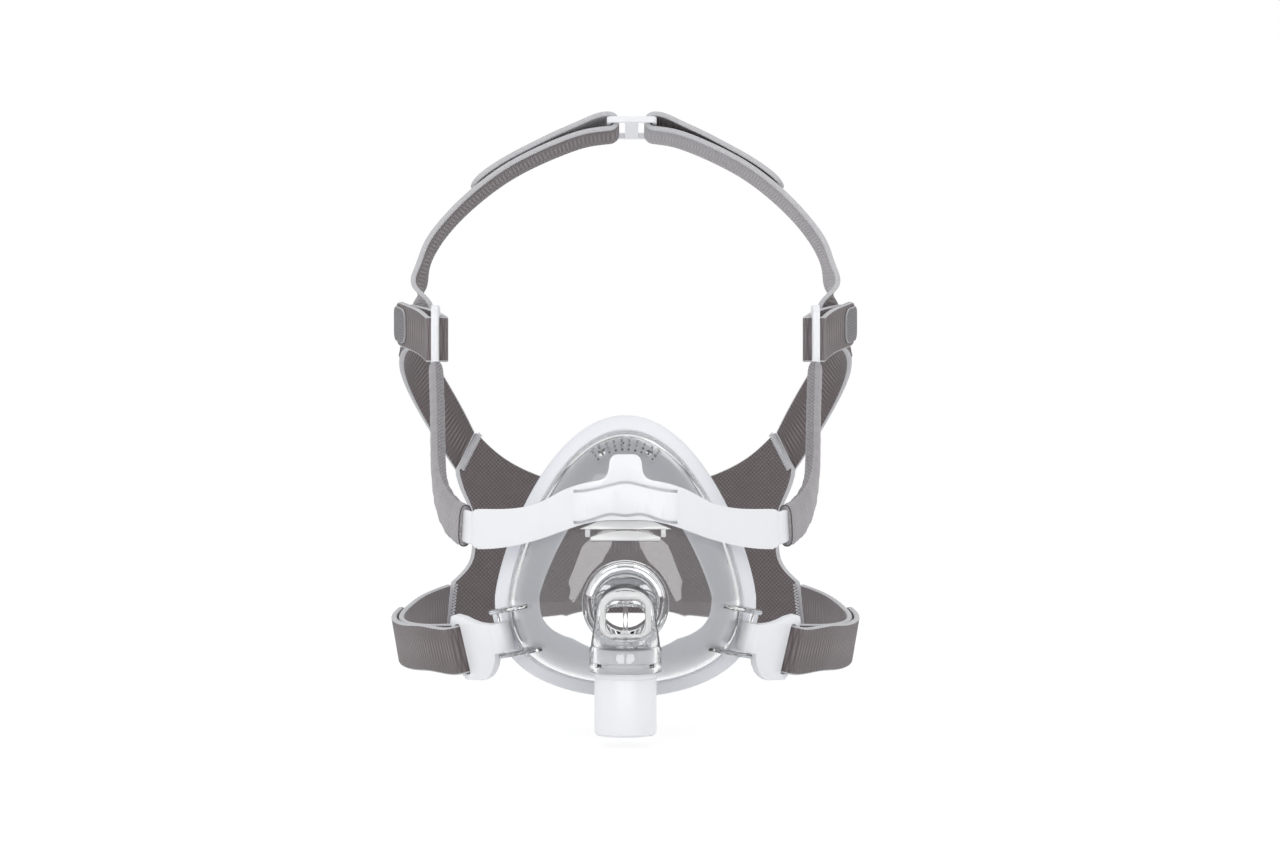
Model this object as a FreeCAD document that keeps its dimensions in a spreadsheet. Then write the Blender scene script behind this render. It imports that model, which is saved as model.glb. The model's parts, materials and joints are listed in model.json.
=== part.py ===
import FreeCAD, Part
import math
import os
import re
import Sketcher
from FreeCAD import Placement, Rotation, Vector

# A full-face breathing mask with its headgear, in millimetres.
# +X is the wearer's left as seen from the front (the viewer's right), +Y runs back into
# the head, +Z is up. The origin is the middle of the face seal's plane.

SIZES = (
    # Seal outline, seen from the front
    ("seal_half_width", 49.4, "cushion, half width at its widest"),
    ("seal_top", 57.2, "cushion, height above the origin"),
    ("seal_bottom", -49.4, "cushion, lowest point"),
    ("seal_widest", -12.0, "height at which the cushion is widest"),
    ("seal_back", 3.6, "cushion crest, behind the seal plane"),
    ("seal_wall", 2.0, "cushion side wall"),
    ("membrane_wall", 1.2, "cushion membrane"),
    ("aperture_half_width", 32.7, "face opening, half width"),
    ("aperture_top", 31.0, "face opening, top"),
    ("aperture_bottom", -32.0, "face opening, bottom"),
    # Shell
    ("rim_inset", 6.5, "shell rim, inside the cushion outline"),
    ("rim_depth", -20.0, "shell rim, along Y"),
    ("dome_front", -50.0, "front of the dome, along Y"),
    ("shell_wall", 1.8, "shell wall"),
    ("port_height", -11.4, "height of the port axis"),
    ("collar_radius", 15.8, "port collar, outside"),
    ("collar_land", 0.4, "flat of the dome round the collar"),
    ("port_bore", 13.4, "port collar, bore radius"),
    ("collar_front", -52.0, "port collar, front face"),
    ("collar_back", -40.0, "port collar, back face"),
    ("vent_radius", 0.45, "vent hole"),
    ("vent_centre_height", 28.7, "centre of the vent arcs"),
    ("vent_first_row", 14.9, "innermost vent arc"),
    ("vent_row_pitch", 1.55, "between vent arcs"),
    ("vent_half_sweep", 40.0, "half angle of a vent arc, degrees"),
    # Elbow
    ("leg_depth", -72.0, "axis of the elbow's leg, along Y"),
    ("leg_radius", 12.4, "elbow tube, outside"),
    ("leg_bore", 9.8, "elbow tube, bore radius"),
    ("leg_length", 22.6, "elbow leg, below the port axis"),
    ("leg_collar_start", 14.0, "top of the leg's collar, below the port axis"),
    ("leg_collar_radius", 12.8, "leg's collar, outside"),
    ("hub_radius", 13.1, "elbow journal in the port"),
    ("hub_bore", 9.5, "elbow journal, bore radius"),
    ("flange_radius", 14.9, "elbow flange"),
    ("flange_thickness", 2.7, "elbow flange"),
    ("swivel_gap", 0.3, "running clearance of the swivels"),
    ("retainer_thickness", 1.2, "snap ring"),
    ("retainer_seat", 12.3, "seat of the snap ring on the hub"),
    ("retainer_radius", 14.8, "snap ring, outside"),
    ("window_half_width", 6.85, "air window, half width"),
    ("window_top", 0.9, "air window, top above the port axis"),
    ("window_bottom", -9.7, "air window, bottom from the port axis"),
    ("window_corner", 3.4, "air window, corner radius"),
    ("window_front", -85.8, "front of the air window before it is rounded, along Y"),
    ("window_proud", 0.9, "rim of the air window, proud of the elbow"),
    ("window_seat", -77.5, "plane that the flap closes on, along Y"),
    ("insert_wall", 0.9, "valve seat insert, wall"),
    ("elbow_rim", 1.2, "elbow wall round the insert"),
    ("insert_gap", 0.1, "clearance round the insert"),
    ("window_bar_width", 1.7, "bar across the window"),
    # Flap
    ("flap_thickness", 0.8, "flap"),
    ("flap_height", -13.2, "flap at rest, from the port axis"),
    ("flap_hinge_depth", -76.6, "flap hinge, along Y"),
    ("flap_half_width", 8.0, "flap, half width"),
    ("flap_tab_half_width", 6.2, "flap at its hinge, half width"),
    ("flap_pin_radius", 0.5, "flap hinge pin"),
    ("flap_pin_gap", 0.1, "running clearance of the flap pin"),
    # Hose cuff
    ("cuff_radius", 11.0, "hose cuff, standard 22 mm outside"),
    ("cuff_bore", 8.9, "hose cuff, bore radius"),
    ("cuff_length", 22.2, "hose cuff, below the elbow"),
    ("cuff_neck_top", -14.9, "top of the cuff's neck, from the port axis"),
    ("cuff_ring", 1.6, "plain ring above the cuff's groove"),
    # Clip lugs and clips
    ("post_x", 46.2, "clip post, from the midplane"),
    ("post_depth", -26.0, "clip post, along Y"),
    ("post_height", -23.7, "middle of the clip post"),
    ("post_radius", 1.5, "clip post"),
    ("post_lean", 13.0, "clip post, lean in degrees"),
    ("lug_gap", 15.0, "between the two fins of a lug"),
    ("lug_wall", 1.5, "fin of a lug"),
    ("clip_width", 14.0, "clip hook, along the post"),
    ("clip_top", 3.8, "clip hook, above the middle of the lug"),
    ("clip_thickness", 2.6, "clip plate"),
    ("clip_reach", 35.7, "clip, post to the middle of the strap bar"),
    ("clip_swing", 60.0, "clip, angle from straight outward, degrees"),
    ("clip_gap", 0.25, "running clearance on the post"),
    ("clip_hook_wall", 2.2, "wall of the clip's hook"),
    ("clip_bar", 3.0, "clip strap bar"),
    ("clip_drop", 4.4, "middle of the clip's slot, below the middle of its hook"),
    # Frame and arms
    ("frame_thickness", 2.6, "yoke"),
    ("bridge_rise", 1.4, "raised centre bar of the yoke"),
    ("slit_width", 1.1, "slits beside the centre bar"),
    ("slit_half_length", 18.8, "slits beside the centre bar, half length"),
    ("arm_width", 12.2, "arm strip"),
    ("arm_thickness", 2.2, "arm strip"),
    ("loop_width", 18.0, "arm loop plate, front to back"),
    ("loop_height", 27.0, "arm loop plate"),
    ("loop_thickness", 2.6, "arm loop plate"),
    ("loop_bar", 3.2, "rear bar of the arm loop"),
    ("loop_slot", 4.3, "slot of the arm loop"),
    ("sleeve_wall", 1.4, "knitted sleeve"),
    ("soft_gap", 0.3, "clearance round soft pieces"),
    # Straps
    ("strap_width", 18.4, "all straps"),
    ("strap_thickness", 2.2, "all straps"),
    ("strap_slot", 19.6, "length of every strap slot"),
    ("tab_thickness", 0.8, "hook tabs"),
    ("tab_length", 15.5, "hook tabs"),
    ("tab_width", 14.4, "hook tabs"),
    ("tab_setback", 1.2, "hook tabs, from the end of the strap"),
    ("panel_thickness", 3.0, "back panel"),
    ("buckle_length", 22.6, "crown buckle, front to back"),
    ("buckle_half_width", 10.5, "crown buckle, half width"),
    ("buckle_thickness", 2.5, "crown buckle"),
    ("buckle_bar", 1.9, "outer bars of the crown buckle"),
    ("buckle_post", 2.75, "half width of the buckle's middle bar"),
    ("buckle_tilt", 13.0, "buckle, front edge up, degrees"),
    ("crown_side_tilt", 8.0, "crown strap at the side of the head, lean in degrees"),
    ("buckle_height", 179.7, "middle of the buckle"),
    ("buckle_shift", 2.6, "middle of the buckle, off the midplane"),
    ("buckle_depth", 124.0, "middle of the buckle, along Y"),
)

doc = FreeCAD.newDocument("mask")
sheet = doc.addObject("Spreadsheet::Sheet", "Sizes")
for row, (alias, value, note) in enumerate(SIZES, 1):
    sheet.set(f"A{row}", note)
    sheet.set(f"B{row}", str(value))
    sheet.setAlias(f"B{row}", alias)
doc.recompute()

LEFT = -1
RIGHT = 1
SIDES = {"left": LEFT, "right": RIGHT}
UP = Vector(0, 0, 1)


def size(alias):
    """A driving dimension as a number."""
    return float(sheet.get(alias))


def bound(words):
    """An expression of the sheet, from one written with bare size names."""
    return re.sub(r"\b(?=[a-z]+_)(\w+)\b", r"Sizes.\1", words)


def number(words):
    """The present value of an expression of size names."""
    return float(sheet.evalExpression(bound(words)))


# Sketch helpers

def new_body(name, place=("0", "0", "0")):
    """A body whose position follows the sheet."""
    body = doc.addObject("PartDesign::Body", name)
    body.Label = name
    for axis, words in zip("xyz", place):
        body.setExpression(f"Placement.Base.{axis}", bound(words))
    return body


def sketch_on(body, name, role, offset="0"):
    """A sketch on one of the body's own origin planes, moved along its normal."""
    plane = next(item for item in body.Origin.OriginFeatures if item.Role == role)
    sketch = body.newObject("Sketcher::SketchObject", name)
    sketch.AttachmentSupport = [(plane, "")]
    sketch.MapMode = "FlatFace"
    sketch.setExpression("AttachmentOffset.Base.z", bound(offset))
    return sketch


def fix_point(sketch, geometry, end, across, up):
    """Hold one point of the sketch at two expressions of the sheet."""
    for kind, words in (("DistanceX", across), ("DistanceY", up)):
        index = sketch.addConstraint(Sketcher.Constraint(kind, -1, 1, geometry, end, number(words)))
        sketch.setExpression(f"Constraints[{index}]", bound(words))


def outline(sketch, *corners):
    """A closed straight-sided outline through corners given as expressions."""
    spots = [Vector(number(across), number(up), 0) for across, up in corners]
    first = sketch.GeometryCount
    count = len(spots)
    for index, spot in enumerate(spots):
        sketch.addGeometry(Part.LineSegment(spot, spots[(index + 1) % count]), False)
    for index in range(count):
        after = first + (index + 1) % count
        sketch.addConstraint(Sketcher.Constraint("Coincident", first + index, 2, after, 1))
    for index, (across, up) in enumerate(corners):
        fix_point(sketch, first + index, 1, across, up)


def box_outline(sketch, left, right, low, high):
    """A rectangle between four expressions."""
    outline(sketch, (left, low), (right, low), (right, high), (left, high))


def circle(sketch, across, up, radius):
    """A circle whose centre and radius follow the sheet."""
    centre = Vector(number(across), number(up), 0)
    index = sketch.addGeometry(Part.Circle(centre, UP, number(radius)), False)
    hold = sketch.addConstraint(Sketcher.Constraint("Radius", index, number(radius)))
    sketch.setExpression(f"Constraints[{hold}]", bound(radius))
    fix_point(sketch, index, 3, across, up)


def rounded_box(sketch, left, right, low, high, radius):
    """A rectangle with round corners, between four expressions."""
    bend = number(radius)
    west, east = number(left) + bend, number(right) - bend
    south, north = number(low) + bend, number(high) - bend
    centres = ((east, south), (east, north), (west, north), (west, south))
    arcs = []
    for turn, (across, up) in enumerate(centres):
        ring = Part.Circle(Vector(across, up, 0), UP, bend)
        start = math.radians(90 * turn - 90)
        arcs.append(sketch.addGeometry(Part.ArcOfCircle(ring, start, start + math.pi / 2), False))
    ends = (
        ((east + bend, south), (east + bend, north)),
        ((east, north + bend), (west, north + bend)),
        ((west - bend, north), (west - bend, south)),
        ((west, south - bend), (east, south - bend)),
    )
    sides = []
    for start, stop in ends:
        sides.append(sketch.addGeometry(Part.LineSegment(Vector(*start, 0), Vector(*stop, 0)), False))
    for turn in range(4):
        sketch.addConstraint(Sketcher.Constraint("Tangent", arcs[turn], 2, sides[turn], 1))
        sketch.addConstraint(Sketcher.Constraint("Tangent", sides[turn], 2, arcs[(turn + 1) % 4], 1))
        sketch.addConstraint(Sketcher.Constraint(("Vertical", "Horizontal")[turn % 2], sides[turn]))
    hold = sketch.addConstraint(Sketcher.Constraint("Radius", arcs[0], bend))
    sketch.setExpression(f"Constraints[{hold}]", bound(radius))
    for other in arcs[1:]:
        sketch.addConstraint(Sketcher.Constraint("Equal", arcs[0], other))
    for side, kind, words in ((0, "DistanceX", right), (2, "DistanceX", left),
                              (1, "DistanceY", high), (3, "DistanceY", low)):
        index = sketch.addConstraint(
            Sketcher.Constraint(kind, -1, 1, sides[side], 1, number(words)))
        sketch.setExpression(f"Constraints[{index}]", bound(words))


def feature(body, kind, name, sketch, **values):
    """A PartDesign feature on a sketch; text values are expressions of the sheet."""
    item = body.newObject(f"PartDesign::{kind}", name)
    item.Profile = sketch
    for key, value in values.items():
        if isinstance(value, str):
            item.setExpression(key, bound(value))
        else:
            setattr(item, key, value)
    sketch.Visibility = False
    return item


def spin(body, kind, name, sketch, axis, angle=360.0):
    """A Revolution or Groove of a sketch about one of its own axes, centred if not a full turn."""
    return feature(body, kind, name, sketch, ReferenceAxis=(sketch, [axis]), Angle=angle,
                   Midplane=angle < 360.0)


def solid_feature(name, shape):
    """A free-form piece, whose shape is worked out from the sheet."""
    item = doc.addObject("Part::Feature", name)
    item.Label = name
    item.Shape = shape
    return item


# Egg-shaped outlines of the cushion and the shell

EGG_POINTS = 24
EGG_TOP = (1.4, 0.53)
OPENING_TOP = (1.25, 0.6)
EGG_LOW = (2.8, 0.5)


def egg(half_width, top, bottom, depth, top_shape=EGG_TOP):
    """Points of an egg outline that is widest at seal_widest and narrow at its top."""
    middle = size("seal_widest")
    points = []
    for step in range(EGG_POINTS):
        angle = 2 * math.pi * step / EGG_POINTS
        rise, run = math.sin(angle), math.cos(angle)
        power, root = top_shape if rise >= 0 else EGG_LOW
        reach = top - middle if rise >= 0 else middle - bottom
        height = middle + math.copysign(reach * abs(rise) ** (2 / power), rise)
        points.append(Vector(math.copysign(half_width * abs(run) ** (2 * root), run), depth, height))
    return points


def seal_egg(inset, depth):
    """The cushion's outline, moved inward by a distance."""
    return egg(size("seal_half_width") - inset, size("seal_top") - inset,
               size("seal_bottom") + inset, depth)


def ring_points(radius, depth):
    """Points of a circle about the port axis, matched to the egg's points."""
    points = []
    for step in range(EGG_POINTS):
        angle = 2 * math.pi * step / EGG_POINTS
        points.append(Vector(radius * math.cos(angle), depth,
                             size("port_height") + radius * math.sin(angle)))
    return points


def closed_wire(points):
    """A smooth closed wire through points."""
    curve = Part.BSplineCurve()
    curve.interpolate(Points=points, PeriodicFlag=True, Parameters=list(range(len(points) + 1)))
    return Part.Wire([curve.toShape()])


def egg_loft(sections):
    """A solid through egg sections."""
    return Part.makeLoft([closed_wire(points) for points in sections], True, False)


def port_cylinder(radius, front, back):
    """A cylinder about the port axis, between two depths."""
    return Part.makeCylinder(radius, back - front, Vector(0, front, size("port_height")), Vector(0, 1, 0))


def dome(inset, front):
    """The dome's solid, from the rim egg to the port circle, drawn in by an inset."""
    rim = seal_egg(size("rim_inset") + inset, 0)
    port = ring_points(size("collar_radius") + size("collar_land") - inset, 0)
    sections = []
    if inset:
        sections.append([Vector(p.x, size("rim_depth") + 1.0, p.z) for p in rim])
    steps = 6
    for step in range(steps + 1):
        angle = math.pi / 2 * step / steps
        blend = 1 - math.cos(angle)
        depth = size("rim_depth") + (front - size("rim_depth")) * math.sin(angle)
        sections.append([Vector(a.x * (1 - blend) + b.x * blend, depth, a.z * (1 - blend) + b.z * blend)
                         for a, b in zip(rim, port)])
    return egg_loft(sections)


def prism(points, direction):
    """A straight-sided solid on a closed outline of points."""
    return Part.Face(Part.makePolygon(points + points[:1])).extrude(direction)


def lean_axis(side):
    """Direction of a clip post, leaning outward at its top."""
    lean = math.radians(size("post_lean"))
    return Vector(side * math.sin(lean), 0, math.cos(lean))


def post_middle(side):
    """Middle of a clip post."""
    return Vector(side * size("post_x"), size("post_depth"), size("post_height"))


def clip_lug(side):
    """Two fins and the post that a clip hooks on."""
    axis = lean_axis(side)
    inward = Vector(-side * axis.z, 0, side * axis.x)
    half = size("lug_gap") / 2
    wall = size("lug_wall")
    middle = post_middle(side)
    outer = size("post_radius") + 0.9
    back = 5.0
    root = 17.0
    front = 4.6
    pieces = [Part.makeCylinder(size("post_radius"), 2 * half + wall,
                                middle - axis * (half + wall / 2), axis)]
    for level in (half, -half - wall):
        base = middle + axis * level
        corners = ((-outer, -front), (-outer, back), (root * 0.4, back + 1), (root, -front - 8),
                   (root - 3, -front - 9.6), (root - 6.4, -front - 9.6), (root * 0.24, -front - 5.6))
        points = [base + inward * across + Vector(0, along, 0) for across, along in corners]
        pieces.append(prism(points, axis * wall))
    return pieces[0].multiFuse(pieces[1:])


def frame_rest():
    """Rib and two posts on the shell that the yoke clips on."""
    low, high = 11.6, 15.0
    half = 12.4
    front = size("dome_front") - 1.2
    back = size("dome_front") + 12.0
    rib = prism([Vector(-half, front + 3.4, low), Vector(half, front + 3.4, low),
                 Vector(half, back, low), Vector(-half, back, low)], UP * (high - low))
    nose = Part.makeCylinder(half * 2.2, high - low, Vector(0, front + half * 2.2, low), UP)
    rib = rib.fuse(nose.common(prism(
        [Vector(-half, front, low), Vector(half, front, low),
         Vector(half, front + 3.4, low), Vector(-half, front + 3.4, low)], UP * (high - low))))
    posts = [Part.makeBox(1.6, 9.0, 3.2, Vector(x - 0.8, front + 2.2, low + 1.0)) for x in (-13.6, 13.6)]
    ledges = [Part.makeBox(2 * reach, 9.0, top - high - 0.4, Vector(-reach, front + 0.8, high + 0.4))
              for reach, top in ((15.6, 16.3), (9.6, 17.9))]
    return rib.multiFuse(posts + ledges)


def mask_shell():
    """Clear dome with its port collar, vents, frame rest and clip lugs."""
    inner = dome(size("shell_wall"), size("dome_front") + size("shell_wall"))
    outside = dome(0, size("dome_front"))
    lugs = [clip_lug(side) for side in SIDES.values()]
    flange = egg_loft([seal_egg(size("rim_inset") - 0.9, size("rim_depth") - 1.6),
                       seal_egg(size("rim_inset") - 0.9, size("rim_depth"))])
    shape = outside.multiFuse(lugs + [flange, frame_rest()]).cut(inner)
    collar = port_cylinder(size("collar_radius"), size("collar_front"), size("collar_back"))
    shape = shape.fuse(collar)
    shape = shape.cut(port_cylinder(size("port_bore"), size("collar_front") - 1, size("collar_back") + 1))
    rows = 3
    holes = 10
    drills = []
    for row in range(rows):
        radius = size("vent_first_row") + row * size("vent_row_pitch")
        for hole in range(holes):
            sweep = math.radians(size("vent_half_sweep") * (2 * hole / (holes - 1) - 1))
            spot = Vector(radius * math.sin(sweep), size("collar_front"),
                          size("vent_centre_height") + radius * math.cos(sweep))
            drills.append(Part.makeCylinder(size("vent_radius"), 40.0, spot, Vector(0, 1, 0)))
    return shape.cut(Part.makeCompound(drills))


def cushion():
    """Hollow silicone seal: side wall, rolled crest and the membrane round the face opening."""
    wall = size("seal_wall")
    skin = size("membrane_wall")
    rim = size("rim_depth")
    crest = size("seal_back")
    outside = egg_loft([seal_egg(6.0, rim), seal_egg(2.8, rim + 5.0), seal_egg(0.0, rim + 12.0),
                        seal_egg(0.6, crest - 5.6), seal_egg(2.9, crest - 1.4), seal_egg(5.8, crest)])

    def opening(grow, depth):
        return egg(size("aperture_half_width") + grow, size("aperture_top") + grow,
                   size("aperture_bottom") - grow, depth, OPENING_TOP)

    def dish(drop):
        return egg_loft([seal_egg(7.4 - drop * 0.5, crest + 0.4 - drop * 0.3),
                         seal_egg(9.6 - drop * 0.5, crest - 1.0 - drop),
                         opening(4.0, crest - 3.6 - drop), opening(-3.0, crest - 6.6 - drop)])

    cavity = egg_loft([seal_egg(6.0 + wall, rim - 1.0), seal_egg(6.0 + wall, rim),
                       seal_egg(2.8 + wall, rim + 5.0), seal_egg(wall, rim + 12.0),
                       seal_egg(0.6 + wall, crest - 5.8), seal_egg(2.9 + wall, crest - 2.4),
                       seal_egg(5.4 + wall, crest - wall * 0.7)])
    hole = egg_loft([opening(0, rim), opening(0, crest + 2)])
    return outside.cut(dish(0.0)).cut(cavity.cut(dish(skin))).cut(hole)


# Elbow, valve and cuff: bodies placed where the port axis meets the leg's axis

CROSSING = ("0", "leg_depth", "port_height")


def build_elbow():
    """Clear elbow: leg, round back, hub with flange, air window."""
    body = new_body("elbow", CROSSING)
    leg = sketch_on(body, "elbow_leg_profile", "YZ_Plane")
    outline(leg, ("0", "0"), ("leg_radius", "0"), ("leg_radius", "-leg_collar_start"),
            ("leg_collar_radius", "-leg_collar_start - 0.6"), ("leg_collar_radius", "-leg_length"),
            ("0", "-leg_length"))
    spin(body, "Revolution", "elbow_leg", leg, "V_Axis")
    ball = body.newObject("PartDesign::AdditiveSphere", "elbow_back")
    ball.setExpression("Radius", bound("leg_radius"))
    flange_face = "collar_front - leg_depth - swivel_gap"
    flange_rear = f"{flange_face} - flange_thickness"
    seat = "collar_back - leg_depth + swivel_gap"
    seat_end = f"{seat} + retainer_thickness + 0.1"
    hub = sketch_on(body, "elbow_hub_profile", "YZ_Plane")
    outline(hub, ("0", "0"), ("0", "leg_radius"), (flange_rear, "leg_radius"),
            (flange_rear, "flange_radius"), (flange_face, "flange_radius"),
            (flange_face, "hub_radius"), (seat, "hub_radius"), (seat, "retainer_seat"),
            (seat_end, "retainer_seat"), (seat_end, "retainer_seat + 0.4"),
            (f"{seat_end} + 0.6", "retainer_seat + 0.2"), (f"{seat_end} + 0.6", "0"))
    spin(body, "Revolution", "elbow_hub", hub, "H_Axis")
    rim = "window_half_width + insert_wall + insert_gap + elbow_rim"
    step = "insert_wall + insert_gap + elbow_rim"
    boss = sketch_on(body, "elbow_boss_profile", "XZ_Plane")
    rounded_box(boss, f"-({rim})", rim, f"window_bottom - ({step})", f"window_top + {step}",
                f"window_corner + {step}")
    feature(body, "Pad", "elbow_boss", boss, Length="leg_depth - window_front")
    trim = sketch_on(body, "elbow_trim_profile", "YZ_Plane")
    proud = "leg_radius + window_proud"
    box_outline(trim, f"-({proud}) - 6", f"-({proud})", f"window_bottom - ({step}) - 1",
                f"window_top + {step} + 1")
    spin(body, "Groove", "elbow_front_trim", trim, "V_Axis", 150.0)
    bore = sketch_on(body, "elbow_leg_bore_profile", "YZ_Plane")
    groove_top = "-leg_length + 3.2"
    groove_low = "-leg_length + 1.7"
    neck = "cuff_radius - 1.0 + swivel_gap"
    outline(bore, ("0", "0"), ("leg_bore", "0"), ("leg_bore", "cuff_neck_top + swivel_gap + 0.4"),
            (neck, "cuff_neck_top + swivel_gap + 0.4"), (neck, groove_top),
            (f"{neck} + 0.7", groove_top), (f"{neck} + 0.7", groove_low), (neck, groove_low),
            (neck, "-leg_length - 1"), ("0", "-leg_length - 1"))
    spin(body, "Groove", "elbow_leg_bore", bore, "V_Axis")
    hollow = body.newObject("PartDesign::SubtractiveSphere", "elbow_back_bore")
    hollow.setExpression("Radius", bound("leg_bore"))
    tube = sketch_on(body, "elbow_hub_bore_profile", "YZ_Plane")
    box_outline(tube, "0", f"{seat_end} + 2", "0", "hub_bore")
    spin(body, "Groove", "elbow_hub_bore", tube, "H_Axis")
    window = sketch_on(body, "elbow_window_profile", "XZ_Plane", "leg_depth - window_front + 1")
    edge = "insert_wall + insert_gap"
    rounded_box(window, f"-(window_half_width + {edge})", f"window_half_width + {edge}",
                f"window_bottom - ({edge})", f"window_top + {edge}", f"window_corner + {edge}")
    feature(body, "Pocket", "elbow_window", window, Length="window_seat - window_front + 2.5")
    catches = sketch_on(body, "elbow_catch_profile", "XZ_Plane", "leg_collar_radius + 1")
    for side in (-1, 1):
        box_outline(catches, f"{8.3 * side} - 1.3", f"{8.3 * side} + 1.3",
                    "-leg_length + 1.8", "-leg_length + 3.1")
    feature(body, "Pocket", "elbow_catches", catches, Length="leg_collar_radius - 6")
    return body


def build_retainer():
    """Snap ring that keeps the hub in the port."""
    body = new_body("elbow_retainer", CROSSING)
    ring = sketch_on(body, "retainer_profile", "YZ_Plane")
    seat = "collar_back - leg_depth + swivel_gap"
    box_outline(ring, seat, f"{seat} + retainer_thickness", "retainer_seat + insert_gap", "retainer_radius")
    spin(body, "Revolution", "retainer_ring", ring, "H_Axis")
    return body


def build_valve_seat():
    """Insert in the air window: tunnel, bar and the two ears of the flap's hinge."""
    body = new_body("valve_seat", CROSSING)
    front = "leg_depth - window_front - 0.3"
    tunnel = sketch_on(body, "seat_outline", "XZ_Plane", "leg_depth - window_seat")
    rounded_box(tunnel, "-(window_half_width + insert_wall)", "window_half_width + insert_wall",
                "window_bottom - insert_wall", "window_top + insert_wall",
                "window_corner + insert_wall")
    feature(body, "Pad", "seat_tunnel", tunnel, Length=f"{front} - (leg_depth - window_seat)")
    trim = sketch_on(body, "seat_trim_profile", "YZ_Plane")
    proud = "leg_radius + window_proud - 0.3"
    box_outline(trim, f"-({proud}) - 6", f"-({proud})", "window_bottom - 3", "window_top + 3")
    spin(body, "Groove", "seat_front_trim", trim, "V_Axis", 150.0)
    ears = sketch_on(body, "ear_outline", "YZ_Plane")
    ear_back = "flap_hinge_depth - leg_depth + 1.1"
    box_outline(ears, "window_seat - leg_depth - 0.5", ear_back,
                "flap_height - 1.0", "window_bottom - insert_wall / 2")
    feature(body, "Pad", "seat_ears", ears, Length="2 * flap_tab_half_width + 2.8", Midplane=True)
    gap = sketch_on(body, "ear_gap_outline", "XZ_Plane", "leg_depth - window_seat")
    box_outline(gap, "-(flap_tab_half_width + 0.3)", "flap_tab_half_width + 0.3",
                "flap_height - 2.0", "window_bottom")
    feature(body, "Pocket", "seat_ear_gap", gap, Length=6.0)
    opening = sketch_on(body, "seat_opening", "XZ_Plane", "leg_depth - window_front + 1")
    rounded_box(opening, "-window_half_width", "window_half_width", "window_bottom", "window_top",
                "window_corner")
    feature(body, "Pocket", "seat_window", opening, Length="window_seat - window_front + 6")
    pin = sketch_on(body, "ear_hole_outline", "YZ_Plane", "-10")
    circle(pin, "flap_hinge_depth - leg_depth", "flap_height", "flap_pin_radius + flap_pin_gap")
    feature(body, "Pocket", "seat_ear_holes", pin, Length=20.0, Reversed=True)
    bar = sketch_on(body, "seat_bar_outline", "XZ_Plane", "leg_depth - window_seat + 1.5")
    box_outline(bar, "-window_bar_width / 2", "window_bar_width / 2",
                "window_bottom - insert_wall / 2", "window_top + insert_wall / 2")
    feature(body, "Pad", "seat_bar", bar, Length=3.0)
    return body


def build_flap():
    """Silicone flap with its hinge pin, lying flat at rest."""
    body = new_body("valve_flap", ("0", "flap_hinge_depth", "port_height + flap_height"))
    centre = "leg_depth - flap_hinge_depth"
    disc = sketch_on(body, "flap_disc_outline", "XY_Plane", "-flap_thickness / 2")
    circle(disc, "0", centre, "leg_bore - swivel_gap")
    feature(body, "Pad", "flap_disc", disc, Length="flap_thickness")
    trim = sketch_on(body, "flap_trim_outline", "XY_Plane", "flap_thickness")
    box_outline(trim, "-20", "20", "-20", "3.2")
    feature(body, "Pocket", "flap_trim", trim, Length="2 * flap_thickness")
    sides = sketch_on(body, "flap_side_outline", "XY_Plane", "flap_thickness")
    box_outline(sides, "-20", "-flap_half_width", "-1", "20")
    box_outline(sides, "flap_half_width", "20", "-1", "20")
    feature(body, "Pocket", "flap_sides", sides, Length="2 * flap_thickness")
    tab = sketch_on(body, "flap_tab_outline", "XY_Plane", "-flap_thickness / 2")
    box_outline(tab, "-flap_tab_half_width", "flap_tab_half_width", "0", "4.0")
    feature(body, "Pad", "flap_tab", tab, Length="flap_thickness")
    pin = sketch_on(body, "flap_pin_outline", "YZ_Plane")
    circle(pin, "0", "0", "flap_pin_radius")
    feature(body, "Pad", "flap_pin", pin, Length="2 * flap_tab_half_width + 2.6", Midplane=True)
    return body


def build_cuff():
    """White hose cuff that turns in the elbow's leg."""
    body = new_body("swivel_cuff", CROSSING)
    profile = sketch_on(body, "cuff_profile", "YZ_Plane")
    top = "-leg_length - swivel_gap"
    neck = "cuff_radius - 1.0"
    bead_top = "-leg_length + 2.9"
    bead_low = "-leg_length + 2.0"
    groove = f"{top} - cuff_ring"
    low = f"{top} - cuff_length"
    outline(profile, ("cuff_bore", "cuff_neck_top"), (f"{neck} - 0.3", "cuff_neck_top"),
            (neck, "cuff_neck_top - 0.3"), (neck, bead_top), (f"{neck} + 0.6", bead_top),
            (f"{neck} + 0.6", bead_low), (neck, bead_low), (neck, top), ("cuff_radius", top),
            ("cuff_radius", groove), ("cuff_radius - 0.35", f"{groove} - 0.15"),
            ("cuff_radius - 0.35", f"{groove} - 0.35"), ("cuff_radius", f"{groove} - 0.5"),
            ("cuff_radius", f"{low} + 0.8"), ("cuff_radius - 0.8", low), ("cuff_bore", low))
    spin(body, "Revolution", "cuff_tube", profile, "V_Axis")
    return body


# Clips and buckle

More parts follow.
